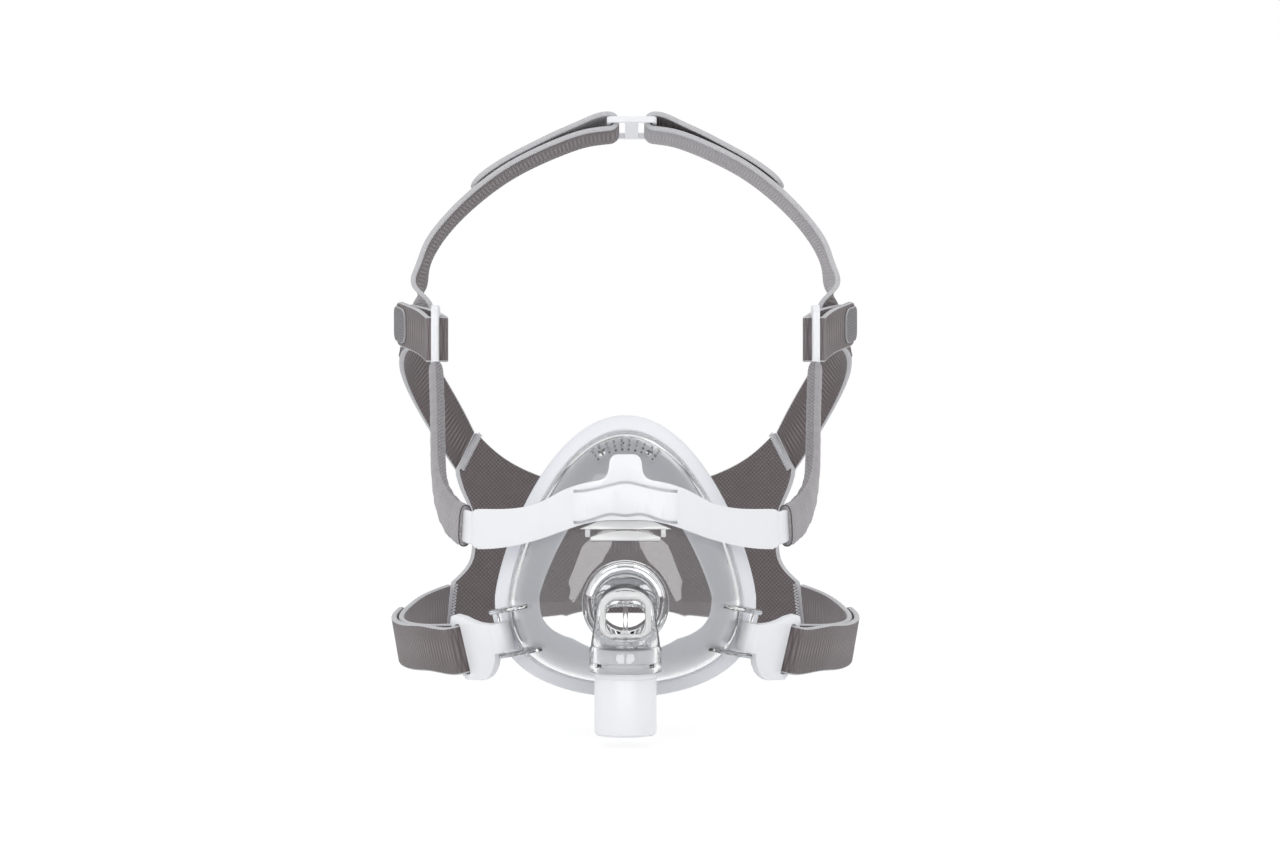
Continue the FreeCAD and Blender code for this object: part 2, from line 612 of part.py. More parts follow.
def build_clip(name, side):
    """Hook clip: a split ring on the post, a waisted plate and a loop for the lower strap."""
    body = new_body(name, (f"{side} * post_x", "post_depth", "post_height"))
    lean = Rotation(Vector(0, 1, 0), side * size("post_lean"))
    swing = Rotation(UP, 90 - side * (90 - size("clip_swing")))
    body.Placement = Placement(post_middle(side), lean.multiply(swing))
    ring = "post_radius + clip_gap"
    plate = sketch_on(body, f"{name}_plate_outline", "XZ_Plane", "-clip_thickness / 2")
    half = "clip_width / 2"
    end = "clip_reach + clip_bar / 2"
    top = "strap_slot / 2 - clip_drop + 3.6"
    low = "strap_slot / 2 + clip_drop + 2.8"
    outline(plate, ("0", f"-{half}"), ("6.2", f"-{half}"), ("7", f"-{half} - 2.4"),
            ("9.4", f"-{half} - 5.0"), ("clip_reach - 23", f"-({low}) + 2.6"),
            ("clip_reach - 19.4", f"-({low}) + 1.0"), ("clip_reach - 15", f"-({low})"),
            (f"{end} - 2.4", f"-({low}) + 0.8"), (end, f"-({low}) + 3.2"), (end, f"{top} - 2.4"),
            (f"{end} - 1.6", f"{top} - 0.4"), ("clip_reach - 3", top), ("clip_reach - 9", f"{top} - 1.2"),
            ("21", "clip_top + 2.2"), ("16", "clip_top + 1.0"), ("11", "clip_top + 0.3"),
            ("6", "clip_top"), ("0", "clip_top"))
    feature(body, "Pad", f"{name}_plate", plate, Length="clip_thickness")
    hook = sketch_on(body, f"{name}_hook_outline", "XY_Plane", f"-{half}")
    circle(hook, "0", "0", f"{ring} + clip_hook_wall")
    feature(body, "Pad", f"{name}_hook", hook, Length="clip_width / 2 + clip_top")
    hole = sketch_on(body, f"{name}_hole_outline", "XY_Plane", f"{half} + 2")
    circle(hole, "0", "0", ring)
    mouth = "post_radius * 0.8"
    feature(body, "Pocket", f"{name}_hole", hole, Length="clip_width + 4")
    split = sketch_on(body, f"{name}_split_outline", "XY_Plane", f"{half} + 2")
    face = "-" if side == LEFT else ""
    far = f"{face}8"
    low, high = sorted((far, "0"), key=number)
    box_outline(split, f"-{mouth} - 0.6", f"{mouth} - 0.6", low, high)
    feature(body, "Pocket", f"{name}_split", split, Length="clip_width + 4")
    slot = sketch_on(body, f"{name}_slot_outline", "XZ_Plane", "clip_thickness")
    rounded_box(slot, "clip_reach - clip_bar / 2 - loop_slot", "clip_reach - clip_bar / 2",
                "-strap_slot / 2 - clip_drop", "strap_slot / 2 - clip_drop", "1.2")
    feature(body, "Pocket", f"{name}_slot", slot, Length="2 * clip_thickness")
    return body


def build_buckle():
    """Crown buckle with a slot for each crown strap."""
    body = new_body("crown_buckle", ("buckle_shift", "buckle_depth", "buckle_height"))
    body.Placement = Placement(Vector(size("buckle_shift"), size("buckle_depth"), size("buckle_height")),
                               Rotation(Vector(1, 0, 0), -size("buckle_tilt")))
    plate = sketch_on(body, "buckle_outline", "XY_Plane", "-buckle_thickness / 2")
    rounded_box(plate, "-buckle_half_width", "buckle_half_width", "-buckle_length / 2",
                "buckle_length / 2", "2")
    for side in (-1, 1):
        inner = f"{side} * buckle_post"
        outer = f"{side} * (buckle_half_width - buckle_bar)"
        left, right = sorted((inner, outer), key=number)
        box_outline(plate, left, right, "-strap_slot / 2", "strap_slot / 2")
    feature(body, "Pad", "buckle_plate", plate, Length="buckle_thickness")
    return body


# Yoke: a strip bent in plan, trimmed by its outline seen from the front

def smooth_edge(points):
    """A smooth open edge through points, straight if there are two."""
    if len(points) == 2:
        return Part.LineSegment(*points).toShape()
    curve = Part.BSplineCurve()
    curve.interpolate(points)
    return curve.toShape()


def smooth_face(*runs):
    """A flat face bounded by smooth runs, each starting where the last one ends."""
    return Part.Face(Part.Wire([smooth_edge(run) for run in runs]))


def mirrored_run(half):
    """A run of points from the left to the right of the midplane."""
    left = [Vector(-p.x, p.y, p.z) for p in reversed(half)]
    return left + [p for p in half if abs(p.x) > 1e-6]


def yoke_plan(offset):
    """The yoke's plan curve, its right half, moved forward by a distance."""
    spots = ((0, -51.0), (12, -50.4), (21, -48.2), (31, -40.6), (44, -26.4), (55.7, -11.8))
    points = []
    for index, (across, along) in enumerate(spots):
        before = spots[max(index - 1, 0)]
        after = spots[min(index + 1, len(spots) - 1)]
        run = Vector(after[0] - before[0], after[1] - before[1], 0)
        if index == 0:
            run = Vector(1, 0, 0)
        run.normalize()
        points.append(Vector(across, along, 0) + Vector(run.y, -run.x, 0) * offset)
    return points


def plan_strip(low, high, front, back):
    """A strip of the yoke's plan between two offsets, as tall as asked."""
    outer = [p + UP * low for p in mirrored_run(yoke_plan(front))]
    inner = [p + UP * low for p in mirrored_run(yoke_plan(back))]
    face = smooth_face(outer, [outer[-1], inner[-1]], list(reversed(inner)), [inner[0], outer[0]])
    return face.extrude(UP * (high - low))


YOKE_TAB = ((0, 42.6), (4.4, 42.2), (5.6, 40.6), (6.2, 36.6), (8.0, 33.9), (11.4, 32.9))
YOKE_TOP = ((19, 31.0), (24, 28.9), (30, 25.6), (37, 23.2), (47, 22.0), (55.7, 21.8))
YOKE_LOW = ((55.7, 6.8), (47, 7.6), (37, 9.8), (30, 12.0), (24, 14.3), (17, 16.8), (10.5, 18.4),
            (0, 18.8))
BRIDGE_TOP = ((0, 32.0), (4.0, 31.3), (9, 30.1), (18.8, 28.7))
BRIDGE_LOW = ((18.8, 18.6), (12, 19.6), (4.5, 21.6), (0, 21.0))


def front_points(spots):
    """Points of a front-view outline, in the plane of the midline."""
    return [Vector(across, -80, up) for across, up in spots]


def yoke_frame():
    """White yoke with its upper tab, two slits and the raised bar between them."""
    top = mirrored_run(front_points(YOKE_TAB + YOKE_TOP))
    low = mirrored_run(list(reversed(front_points(YOKE_LOW))))
    outline_face = smooth_face(top, [top[-1], low[-1]], list(reversed(low)), [low[0], top[0]])
    front_solid = outline_face.extrude(Vector(0, 90, 0))
    thickness = size("frame_thickness")
    band = plan_strip(0, 50, 0, -thickness).common(front_solid)
    reach = size("slit_half_length")
    slits = []
    for spots, sign in ((BRIDGE_TOP, 1), (tuple(reversed(BRIDGE_LOW)), -1)):
        near = [(across / 18.8 * reach, up) for across, up in spots]
        far = [(across, up + sign * size("slit_width")) for across, up in near]
        near_run = mirrored_run(front_points(near))
        far_run = mirrored_run(front_points(far))
        face = smooth_face(near_run, [near_run[-1], far_run[-1]], list(reversed(far_run)),
                           [far_run[0], near_run[0]])
        slits.append(face.extrude(Vector(0, 90, 0)))
    upper = mirrored_run(front_points([(a / 18.8 * reach, up) for a, up in BRIDGE_TOP]))
    lower = mirrored_run(front_points([(a / 18.8 * reach, up) for a, up in reversed(BRIDGE_LOW)]))
    bridge_face = smooth_face(upper, [upper[-1], lower[-1]], list(reversed(lower)), [lower[0], upper[0]])
    bridge = plan_strip(0, 50, size("bridge_rise"), -thickness / 2).common(
        bridge_face.extrude(Vector(0, 90, 0)))
    yoke = band.cut(Part.makeCompound(slits)).fuse(bridge)
    gap = size("soft_gap")
    return yoke.cut(dome(-gap, size("dome_front") - gap)).removeSplitter()


# Strips and straps: smooth rails along the corners of a cross-section, skinned and capped

def section(spot, ahead, across, width, thickness, round_off):
    """Corner points of a strip's cross-section at one station, narrow edges rounded off."""
    normal = ahead.cross(across).normalize()
    half_w = width / 2
    half_t = thickness / 2
    if not round_off:
        corners = ((-half_w, half_t), (half_w, half_t), (half_w, -half_t), (-half_w, -half_t))
    else:
        keep = half_t - round_off
        flat = half_w - round_off
        corners = ((-flat, half_t), (flat, half_t), (half_w, keep), (half_w, -keep),
                   (flat, -half_t), (-flat, -half_t), (-half_w, -keep), (-half_w, keep))
    return [spot + across * a + normal * n for a, n in corners]


def strip(stations, width, thickness, round_off=0.0):
    """A solid strip through stations of (point, direction of its width)."""
    spots = [spot for spot, _ in stations]
    sections = []
    travelled = [0.0]
    for index, (spot, across) in enumerate(stations):
        ahead = spots[min(index + 1, len(spots) - 1)] - spots[max(index - 1, 0)]
        sections.append(section(spot, ahead, across.normalize(), width, thickness, round_off))
        if index:
            travelled.append(travelled[-1] + (spot - spots[index - 1]).Length)
    rails = []
    for corner in range(len(sections[0])):
        curve = Part.BSplineCurve()
        curve.interpolate(Points=[points[corner] for points in sections], Parameters=travelled)
        rails.append(curve)
    faces = [skin_between(rail, rails[(index + 1) % len(rails)]) for index, rail in enumerate(rails)]
    for points in (sections[0], sections[-1]):
        faces.append(Part.Face(Part.makePolygon(points + points[:1])))
    shell = Part.Compound(faces)
    shell.sewShape()
    solid = Part.Solid(shell.Shells[0])
    if solid.Volume < 0:
        solid.reverse()
    return solid


def skin_between(rail, other):
    """The straight-ruled face between two rails that share their knots."""
    surface = Part.BSplineSurface()
    surface.buildFromPolesMultsKnots(
        [rail.getPoles(), other.getPoles()], (2, 2), rail.getMultiplicities(),
        (0.0, 1.0), rail.getKnots(), False, False, 1, rail.Degree)
    return surface.toShape()


def stations_of(rows, side):
    """Stations from rows of left-side numbers (point, width direction), for either side."""
    flip = -side
    return [(Vector(flip * x, y, z), Vector(flip * a, b, c)) for x, y, z, a, b, c in rows]


def fold(centre, start, bulge, radius, across):
    """Stations round a bar: from the start side, past the bulge, to the far side."""
    steps = 8
    out = []
    for step in range(steps + 1):
        angle = math.pi * step / steps
        spot = centre + start * (radius * math.cos(angle)) + bulge * (radius * math.sin(angle))
        out.append((spot, Vector(across)))
    return out


ARM = (
    (-56.9, -8.6, 14.3, 0.0, 0.0, 1.0),
    (-60.9, -3.8, 15.4, 0.06, -0.06, 1.0),
    (-65.7, 2.8, 18.4, 0.1, -0.3, 0.95),
    (-69.6, 10.0, 24.2, 0.06, -0.55, 0.84),
    (-72.0, 19.6, 32.2, 0.0, -0.62, 0.78),
    (-73.2, 30.8, 41.8, 0.0, -0.64, 0.77),
    (-74.2, 43.4, 53.0, 0.0, -0.66, 0.75),
    (-75.3, 56.0, 64.6, 0.0, -0.68, 0.73),
    (-76.3, 66.0, 74.2, 0.0, -0.7, 0.71),
    (-77.0, 73.0, 81.5, 0.0, -0.72, 0.69),
)
LOOP_BAR_SPOT = Vector(77.0, 81.0, 88.6)


def arm(side):
    """White arm strip that ends in the loop for the upper strap."""
    run = strip(stations_of(ARM, side), size("arm_width"), size("arm_thickness"), 0.6)
    bar = size("loop_bar")
    rear = LOOP_BAR_SPOT.y + bar / 2
    thick = size("loop_thickness")
    width = size("loop_width")
    height = size("loop_height")
    corner = Vector(side * LOOP_BAR_SPOT.x - thick / 2, rear - width, LOOP_BAR_SPOT.z - height / 2)
    plate = Part.makeBox(thick, width, height, corner)
    long_edges = [e for e in plate.Edges if abs(e.tangentAt(e.FirstParameter).x) > 0.9]
    plate = plate.makeFillet(4.0, long_edges)
    slot = size("loop_slot")
    tall = size("strap_slot")
    cut = Part.makeBox(thick + 4, slot, tall,
                       Vector(corner.x - 2, rear - bar - slot, LOOP_BAR_SPOT.z - tall / 2))
    return run.fuse(plate).cut(cut).removeSplitter()


def sleeve(side):
    """Knitted sleeve over the arm."""
    stations = stations_of(ARM, side)
    inner = strip(stations, size("arm_width") + 2 * size("soft_gap"),
                  size("arm_thickness") + 2 * size("soft_gap"), 0.5)
    grow = 2 * (size("soft_gap") + size("sleeve_wall"))
    outer = strip(stations, size("arm_width") + grow, size("arm_thickness") + grow, 2.2)
    front = Vector(side * 61.2, -3.4, 15.4)
    back = Vector(side * 76.2, 65.0, 73.4)
    keep_front = half_space(front, Vector(side * 0.55, 0.8, 0.1))
    keep_back = half_space(back, Vector(side * -0.05, -0.64, -0.77))
    return outer.common(keep_front).common(keep_back).cut(inner)


def half_space(spot, inward):
    """A big block on one side of a plane, to trim with."""
    reach = 400
    block = Part.makeBox(reach, reach, reach, Vector(-reach / 2, -reach / 2, 0))
    block.Placement = Placement(spot, Rotation(UP, inward))
    return block


UPPER_RUN = (
    (-69.6, 149.6, 42.8, 0.45, 0.0, 0.89),
    (-76.6, 146.2, 55.0, 0.58, 0.12, 0.79),
    (-84.4, 139.6, 69.0, 0.6, 0.3, 0.74),
    (-90.6, 129.6, 82.0, 0.42, 0.42, 0.8),
    (-92.6, 118.4, 90.6, 0.16, 0.26, 0.95),
    (-90.2, 106.4, 94.6, 0.02, 0.04, 1.0),
    (-84.6, 95.2, 93.6, 0.0, -0.1, 0.99),
    (-77.0, 87.4, 91.0, 0.0, -0.1, 0.99),
)
UPPER_FOLD = (
    (-83.4, 87.6, 91.0, 0.0, -0.1, 0.99),
    (-88.0, 95.6, 93.6, 0.0, -0.1, 0.99),
    (-93.2, 105.4, 95.8, 0.0, -0.06, 1.0),
    (-95.8, 113.0, 97.2, 0.0, -0.04, 1.0),
)
FOLD_RADIUS = 3.5


def upper_path(side):
    """Path of the strap from the back panel to the arm's loop, folded back on itself."""
    centre = Vector(side * LOOP_BAR_SPOT.x, LOOP_BAR_SPOT.y, LOOP_BAR_SPOT.z)
    turn = fold(centre, Vector(-side, 0, 0), Vector(0, -1, 0), FOLD_RADIUS, UP)
    return stations_of(UPPER_RUN, side) + turn + stations_of(UPPER_FOLD, side)


LOWER_RUN = (
    (-77.0, 140.6, -23.8, 0.1, 0.0, 0.99),
    (-83.4, 124.0, -26.2, -0.02, 0.0, 1.0),
    (-88.0, 100.0, -29.2, -0.08, 0.0, 1.0),
    (-89.3, 75.0, -31.6, -0.15, 0.0, 0.98),
    (-86.4, 50.0, -33.0, -0.18, 0.0, 0.98),
    (-79.8, 31.0, -33.0, -0.2, 0.0, 0.97),
    (-71.4, 17.4, -32.4, -0.21, 0.0, 0.97),
)
LOWER_FOLD = (
    (-75.4, 15.0, -32.4, -0.21, 0.0, 0.97),
    (-82.6, 29.0, -33.0, -0.2, 0.0, 0.97),
    (-89.2, 49.0, -33.0, -0.18, 0.0, 0.98),
    (-92.2, 75.0, -31.6, -0.15, 0.0, 0.98),
    (-91.0, 97.0, -29.6, -0.08, 0.0, 1.0),
)


def clip_direction(side):
    """Direction from a clip's post to its strap bar."""
    lean = Rotation(Vector(0, 1, 0), side * size("post_lean"))
    swing = Rotation(UP, 90 - side * (90 - size("clip_swing")))
    return lean.multiply(swing).multVec(Vector(1, 0, 0))


def lower_path(side):
    """Path of the strap from the back panel through the clip's loop, folded back on itself."""
    ahead = clip_direction(side)
    axis = lean_axis(side)
    centre = post_middle(side) + ahead * size("clip_reach") - axis * size("clip_drop")
    inward = ahead.cross(axis) * -side
    turn = fold(centre, inward, ahead * -1, FOLD_RADIUS, axis)
    return stations_of(LOWER_RUN, side) + turn + stations_of(LOWER_FOLD, side)


CROWN_FOOT = (
    (-84.1, 102.0, 97.4, 0.43, -0.9, 0.0),
    (-84.6, 102.0, 104.4, 0.4, -0.92, 0.0),
)
CROWN_RUN = (
    (-85.9, 103.0, 111.0), (-84.8, 104.6, 119.0), (-81.6, 107.0, 128.0), (-75.8, 110.0, 137.0),
    (-67.6, 113.0, 146.2), (-59.0, 115.5, 154.0), (-49.5, 118.0, 161.0), (-38.5, 120.5, 167.2),
    (-28.0, 122.3, 172.0), (-18.0, 123.6, 175.4),
)
CROWN_AXIS_HEIGHT = 100.0
CROWN_DRAWN_TOP = 179.7
CROWN_FOLD_FROM = 5
CROWN_LAYER_STEP = 2.9


def crown_across(spot):
    """Width direction of the crown strap, which lies on a cone that opens to the front."""
    out = Vector(spot.x, 0, spot.z - CROWN_AXIS_HEIGHT).normalize()
    side_tilt = size("crown_side_tilt")
    tilt = math.radians(side_tilt + (size("buckle_tilt") - side_tilt) * max(out.z, 0))
    return out * math.sin(tilt) + Vector(0, -math.cos(tilt), 0)


def crown_spot(side, x, y, z):
    """A point of the crown strap's path, drawn towards the buckle's side as it nears it."""
    shift = size("buckle_shift") * (1 - abs(x) / abs(CROWN_RUN[0][0]))
    foot = CROWN_RUN[0][2]
    stretch = (size("buckle_height") - foot) / (CROWN_DRAWN_TOP - foot)
    return Vector(-side * x + shift, y, foot + (z - foot) * stretch)


def crown_path(side):
    """Path of the strap from the side of the head to the crown buckle, folded back on itself."""
    spots = [crown_spot(side, *row) for row in CROWN_RUN]
    tilt = math.radians(size("buckle_tilt"))
    up = Vector(0, math.sin(tilt), math.cos(tilt))
    bar = Vector(size("buckle_shift") + side * (size("buckle_half_width") - size("buckle_bar") / 2),
                 size("buckle_depth"), size("buckle_height"))
    across = Vector(0, -math.cos(tilt), math.sin(tilt))
    lower = stations_of(CROWN_FOOT, side) + [(spot, crown_across(spot)) for spot in spots]
    turn = fold(bar, up * -1, Vector(-side, 0, 0), 3.2, across)
    last = len(spots) - 1
    lifts = {last: CROWN_LAYER_STEP + 1.8, last - 1: CROWN_LAYER_STEP + 0.6}
    upper = []
    for index in range(last, CROWN_FOLD_FROM - 1, -1):
        ahead = spots[index - 1] - spots[min(index + 1, last)]
        normal = ahead.cross(crown_across(spots[index])).normalize()
        normal = normal if normal.z > 0 else normal * -1
        spot = spots[index] + normal * lifts.get(index, CROWN_LAYER_STEP)
        upper.append((spot, crown_across(spots[index])))
    end, across_end = upper[-1]
    beyond = (spots[CROWN_FOLD_FROM - 1] - spots[CROWN_FOLD_FROM]) * 0.45
    upper.append((end + beyond, across_end))
    return lower + turn + upper


def hook_tab(path, outward):
    """A thin rounded hook tab on the outside of the last stretch of a strap's path."""
    spots = [spot for spot, _ in path]
    travelled = [0.0]
    for index in range(1, len(spots)):
        travelled.append(travelled[-1] + (spots[index] - spots[index - 1]).Length)
    middle = Part.BSplineCurve()
    middle.interpolate(Points=spots, Parameters=travelled)
    edge = Part.BSplineCurve()
    edge.interpolate(Points=[spot + across.normalize() for spot, across in path],
                     Parameters=travelled)
    lift = size("strap_thickness") / 2 + size("tab_thickness") / 2 + size("soft_gap")
    steps = 4
    start = travelled[-1] - size("tab_length") - size("tab_setback")
    stations = []
    for step in range(steps + 1):
        along = start + size("tab_length") * step / steps
        spot = middle.value(along)
        across = edge.value(along) - spot
        normal = middle.tangent(along)[0].cross(across).normalize()
        normal = normal if normal.dot(outward) > 0 else normal * -1
        stations.append((spot + normal * lift, across))
    return strip(stations, size("tab_width"), size("tab_thickness"), 0.3)


# Back panel: a plate curved in plan, trimmed by its outline seen from the front

PANEL_TOP = ((0, 23.2), (18, 25.6), (36.6, 31.4), (47.9, 36.4), (56.5, 42.2), (64.9, 50.4))
PANEL_SIDE = ((72.9, 34.4), (70.6, 26.0), (67.0, 17.0), (66.0, 6.0), (67.2, -5.0), (74.8, -14.0))
PANEL_LOW = ((76.8, -33.2), (56, -32.6), (35.3, -30.6), (18, -29.0), (0, -28.6))


def panel_plan(offset):
    """Plan curve of the back panel, its right half."""
    spots = ((0, 167.0), (22, 165.4), (42, 160.8), (58, 154.4), (69, 147.6), (80, 137.6))
    return [Vector(across, along + offset, 0) for across, along in spots]


def back_panel():
    """Four-armed panel behind the head."""
    top = mirrored_run(front_points(PANEL_TOP))
    low = mirrored_run(list(reversed(front_points(PANEL_LOW))))
    right = front_points(PANEL_SIDE)
    left = [Vector(-p.x, p.y, p.z) for p in reversed(right)]
    face = smooth_face(top, [top[-1], right[0]], right, [right[-1], low[-1]], list(reversed(low)),
                       [low[0], left[0]], left, [left[-1], top[0]])
    front = face.extrude(Vector(0, 300, 0))
    half = size("panel_thickness") / 2
    outer = [p - UP * 60 for p in mirrored_run(panel_plan(half))]
    inner = [p - UP * 60 for p in mirrored_run(panel_plan(-half))]
    plan = smooth_face(outer, [outer[-1], inner[-1]], list(reversed(inner)), [inner[0], outer[0]])
    return plan.extrude(UP * 140).common(front)


NODES = []


def keep(item):
    """Remember a finished sub-part."""
    NODES.append(item)


keep(solid_feature("mask_shell", mask_shell()))
keep(solid_feature("cushion_seal", cushion()))
keep(build_elbow())
keep(build_retainer())
keep(build_valve_seat())
keep(build_flap())
keep(build_cuff())
keep(solid_feature("yoke_frame", yoke_frame()))
keep(build_buckle())
keep(solid_feature("back_panel", back_panel()))
for word, side in SIDES.items():
    keep(solid_feature(f"arm_{word}", arm(side)))
    keep(solid_feature(f"arm_sleeve_{word}", sleeve(side)))
    keep(build_clip(f"lower_clip_{word}", side))
    for name, path in (("upper", upper_path(side)), ("lower", lower_path(side)),
                       ("crown", crown_path(side))):
        webbing = strip(path, size("strap_width"), size("strap_thickness"))
        keep(solid_feature(f"{name}_strap_{word}", webbing))
        if name != "crown":
            tab = hook_tab(path, Vector(side, 0, 0))
            keep(solid_feature(f"{name}_hook_tab_{word}", tab))

doc.recompute()
for item in doc.Objects:
    if "Invalid" in item.State or "Error" in item.State:
        raise RuntimeError(f"{item.Label} failed: {item.State}")
for item in NODES:
    if item.Shape.isNull() or not item.Shape.isValid():
        raise RuntimeError(f"{item.Label} has no valid shape")

os.makedirs("parts", exist_ok=True)
for item in NODES:
    item.Shape.exportStep(f"parts/{item.Label}.step")
    print(item.Label, len(item.Shape.Solids), round(item.Shape.Volume, 1))
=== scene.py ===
import json
import math

import bmesh
import bpy
import numpy as np
from mathutils import Matrix, Vector

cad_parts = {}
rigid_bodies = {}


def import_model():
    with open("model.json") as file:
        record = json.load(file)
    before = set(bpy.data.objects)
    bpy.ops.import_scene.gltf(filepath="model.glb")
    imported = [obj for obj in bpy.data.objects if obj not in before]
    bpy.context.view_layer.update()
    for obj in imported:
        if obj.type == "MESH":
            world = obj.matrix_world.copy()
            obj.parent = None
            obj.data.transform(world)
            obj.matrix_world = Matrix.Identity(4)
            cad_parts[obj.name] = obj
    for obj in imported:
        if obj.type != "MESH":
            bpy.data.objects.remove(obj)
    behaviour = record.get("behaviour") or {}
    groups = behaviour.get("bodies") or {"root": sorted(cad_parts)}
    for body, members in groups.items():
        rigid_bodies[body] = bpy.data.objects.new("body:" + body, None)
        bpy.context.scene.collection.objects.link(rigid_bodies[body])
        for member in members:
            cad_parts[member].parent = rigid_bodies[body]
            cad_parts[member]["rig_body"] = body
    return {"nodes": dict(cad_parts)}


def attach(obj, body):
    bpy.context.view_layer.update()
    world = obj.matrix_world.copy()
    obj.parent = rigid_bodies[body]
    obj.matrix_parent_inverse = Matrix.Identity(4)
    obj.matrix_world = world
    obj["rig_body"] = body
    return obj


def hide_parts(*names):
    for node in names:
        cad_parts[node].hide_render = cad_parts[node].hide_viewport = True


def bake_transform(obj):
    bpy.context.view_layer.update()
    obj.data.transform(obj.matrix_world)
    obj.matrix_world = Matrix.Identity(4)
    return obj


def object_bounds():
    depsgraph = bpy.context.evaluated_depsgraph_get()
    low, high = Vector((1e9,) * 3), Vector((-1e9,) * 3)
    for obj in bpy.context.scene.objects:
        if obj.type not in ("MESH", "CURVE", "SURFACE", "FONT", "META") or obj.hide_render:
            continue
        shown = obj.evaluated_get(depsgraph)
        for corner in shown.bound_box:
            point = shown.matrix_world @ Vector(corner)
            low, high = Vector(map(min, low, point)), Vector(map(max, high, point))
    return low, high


bl_info = {
    "name": "Full-Face Breathing Mask",
    "version": (1, 0, 0),
    "blender": (4, 5, 0),
    "location": "View3D > Sidebar > Mask",
    "description": "Builds a full-face breathing mask with its headgear over its packed solids",
    "category": "Add Mesh",
}

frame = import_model()
CAD_BOX = [list(corner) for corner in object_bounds()]

# Rows of numbers below are in millimetres, as a maker's drawing gives them.
# +X is the viewer's right, +Y runs back into the head, +Z is up.
MM = 0.001
LEFT = -1
RIGHT = 1
SIDES = {"left": LEFT, "right": RIGHT}
UP = Vector((0, 0, 1))


# Settings

def length(name, description, default, low=0.0, high=1.0):
    """A length property in metres."""
    return bpy.props.FloatProperty(name=name, description=description, default=default, min=low,
                                   max=high, precision=5, subtype="DISTANCE", unit="LENGTH")


def colour(name, description, default):
    """A colour property written as an sRGB hex value."""
    return bpy.props.StringProperty(name=name, description=description, default=default)


class SealSizes(bpy.types.PropertyGroup):
    """Outline of the silicone seal."""
    half_width: length("Half Width", "Half width of the seal at its widest", 0.0494)
    top: length("Top", "Height of the seal above the origin", 0.0572)
    bottom: length("Bottom", "Depth of the seal below the origin", 0.0494)
    widest: length("Widest", "Distance of the widest point below the origin", 0.012)
    wall: length("Wall", "Thickness of the side wall", 0.0020)
    membrane: length("Membrane", "Thickness of the membrane round the face opening", 0.0012)


class ShellSizes(bpy.types.PropertyGroup):
    """Clear dome."""
    wall: length("Wall", "Thickness of the dome", 0.0018)
    collar_radius: length("Collar Radius", "Outside of the round port's collar", 0.0158)
    port_bore: length("Port Bore", "Radius of the port", 0.0134)
    vent_radius: length("Vent Radius", "Radius of one vent hole", 0.00045)


class WebbingSizes(bpy.types.PropertyGroup):
    """Straps of foam-backed knit."""
    width: length("Width", "Width of every strap", 0.0184)
    thickness: length("Thickness", "Thickness of every strap", 0.0022)
    panel_thickness: length("Panel Thickness", "Thickness of the back panel", 0.0030)
    sleeve_wall: length("Sleeve Wall", "Thickness of the knitted sleeves", 0.0014)
    stitch_pitch: length("Knit Pitch", "Spacing of the stitches, drawn coarser than real", 0.0018)


class FinishColours(bpy.types.PropertyGroup):
    """Colours of the mask's materials, in sRGB hex."""
    polycarbonate: colour("Clear Plastic", "Clear moulded plastic", "#fdfeff")
    silicone: colour("Silicone", "Thick, translucent silicone wall", "#e9ebf0")
    # Painted light: the membrane is the wall's silicone, coloured lighter against its shade in the
    # dome.
    membrane: colour("Membrane", "Thin silicone that rests on the face", "#fbfcff")
    white: colour("White Plastic", "Satin white plastic", "#eff0f3")
    knit: colour("Knit", "Outer face of the headgear", "#6f6768")
    lining: colour("Lining", "Inner face of the headgear", "#a29fa2")
    foam: colour("Foam", "Cut foam edge", "#c9c9cc")
    thread: colour("Thread", "Sewing thread", "#d4d4d8")
    sleeve: colour("Sleeve", "Lower face of the arms' sleeves", "#8f8c90")
    hooks: colour("Hook Tape", "Hook tabs of the straps", "#8f8d90")


class StudioSizes(bpy.types.PropertyGroup):
    """Camera and lights."""
    distance: length("Camera Distance", "Camera in front of the origin", 1.07, high=10.0)
    height: length("Camera Height", "Camera above the origin", 0.05, high=10.0)
    level: bpy.props.FloatProperty(name="Light Level", default=1.0, min=0.0, max=10.0,
                                   description="Strength of the surrounding light")


# Materials

def linear(hex_colour):
    """An sRGB hex value as linear RGBA."""
    values = [int(hex_colour[i:i + 2], 16) / 255 for i in (1, 3, 5)]
    return [v / 12.92 if v <= 0.04045 else ((v + 0.055) / 1.055) ** 2.4 for v in values] + [1.0]


def add_node(tree, kind, settings=None, links=None):
    """A node with its settings, its input values and its input links."""
    node = tree.nodes.new(kind)
    for key, value in (settings or {}).items():
        setattr(node, key, value)
    for key, value in (links or {}).items():
        if isinstance(value, bpy.types.NodeSocket):
            tree.links.new(value, node.inputs[key])
        else:
            node.inputs[key].default_value = value
    return node


def new_material(name, **sockets):
    """A material with one Principled shader, given its socket values."""
    material = bpy.data.materials.new(name)
    material.use_nodes = True
    shader = material.node_tree.nodes["Principled BSDF"]
    for key, value in sockets.items():
        shader.inputs[key.replace("_", " ")].default_value = value
    return material, material.node_tree, shader


def mould_grain(tree, shader, scale, detail, strength, distance):
    """The faint relief that a mould leaves, and its noise for other uses."""
    place = add_node(tree, "ShaderNodeTexCoord")
    grain = add_node(tree, "ShaderNodeTexNoise", None,
                     {"Vector": place.outputs["Object"], "Scale": scale, "Detail": detail})
    bump = add_node(tree, "ShaderNodeBump", None,
                    {"Height": grain.outputs["Fac"], "Strength": strength, "Distance": distance})
    tree.links.new(bump.outputs["Normal"], shader.inputs["Normal"])
    return grain.outputs["Fac"]


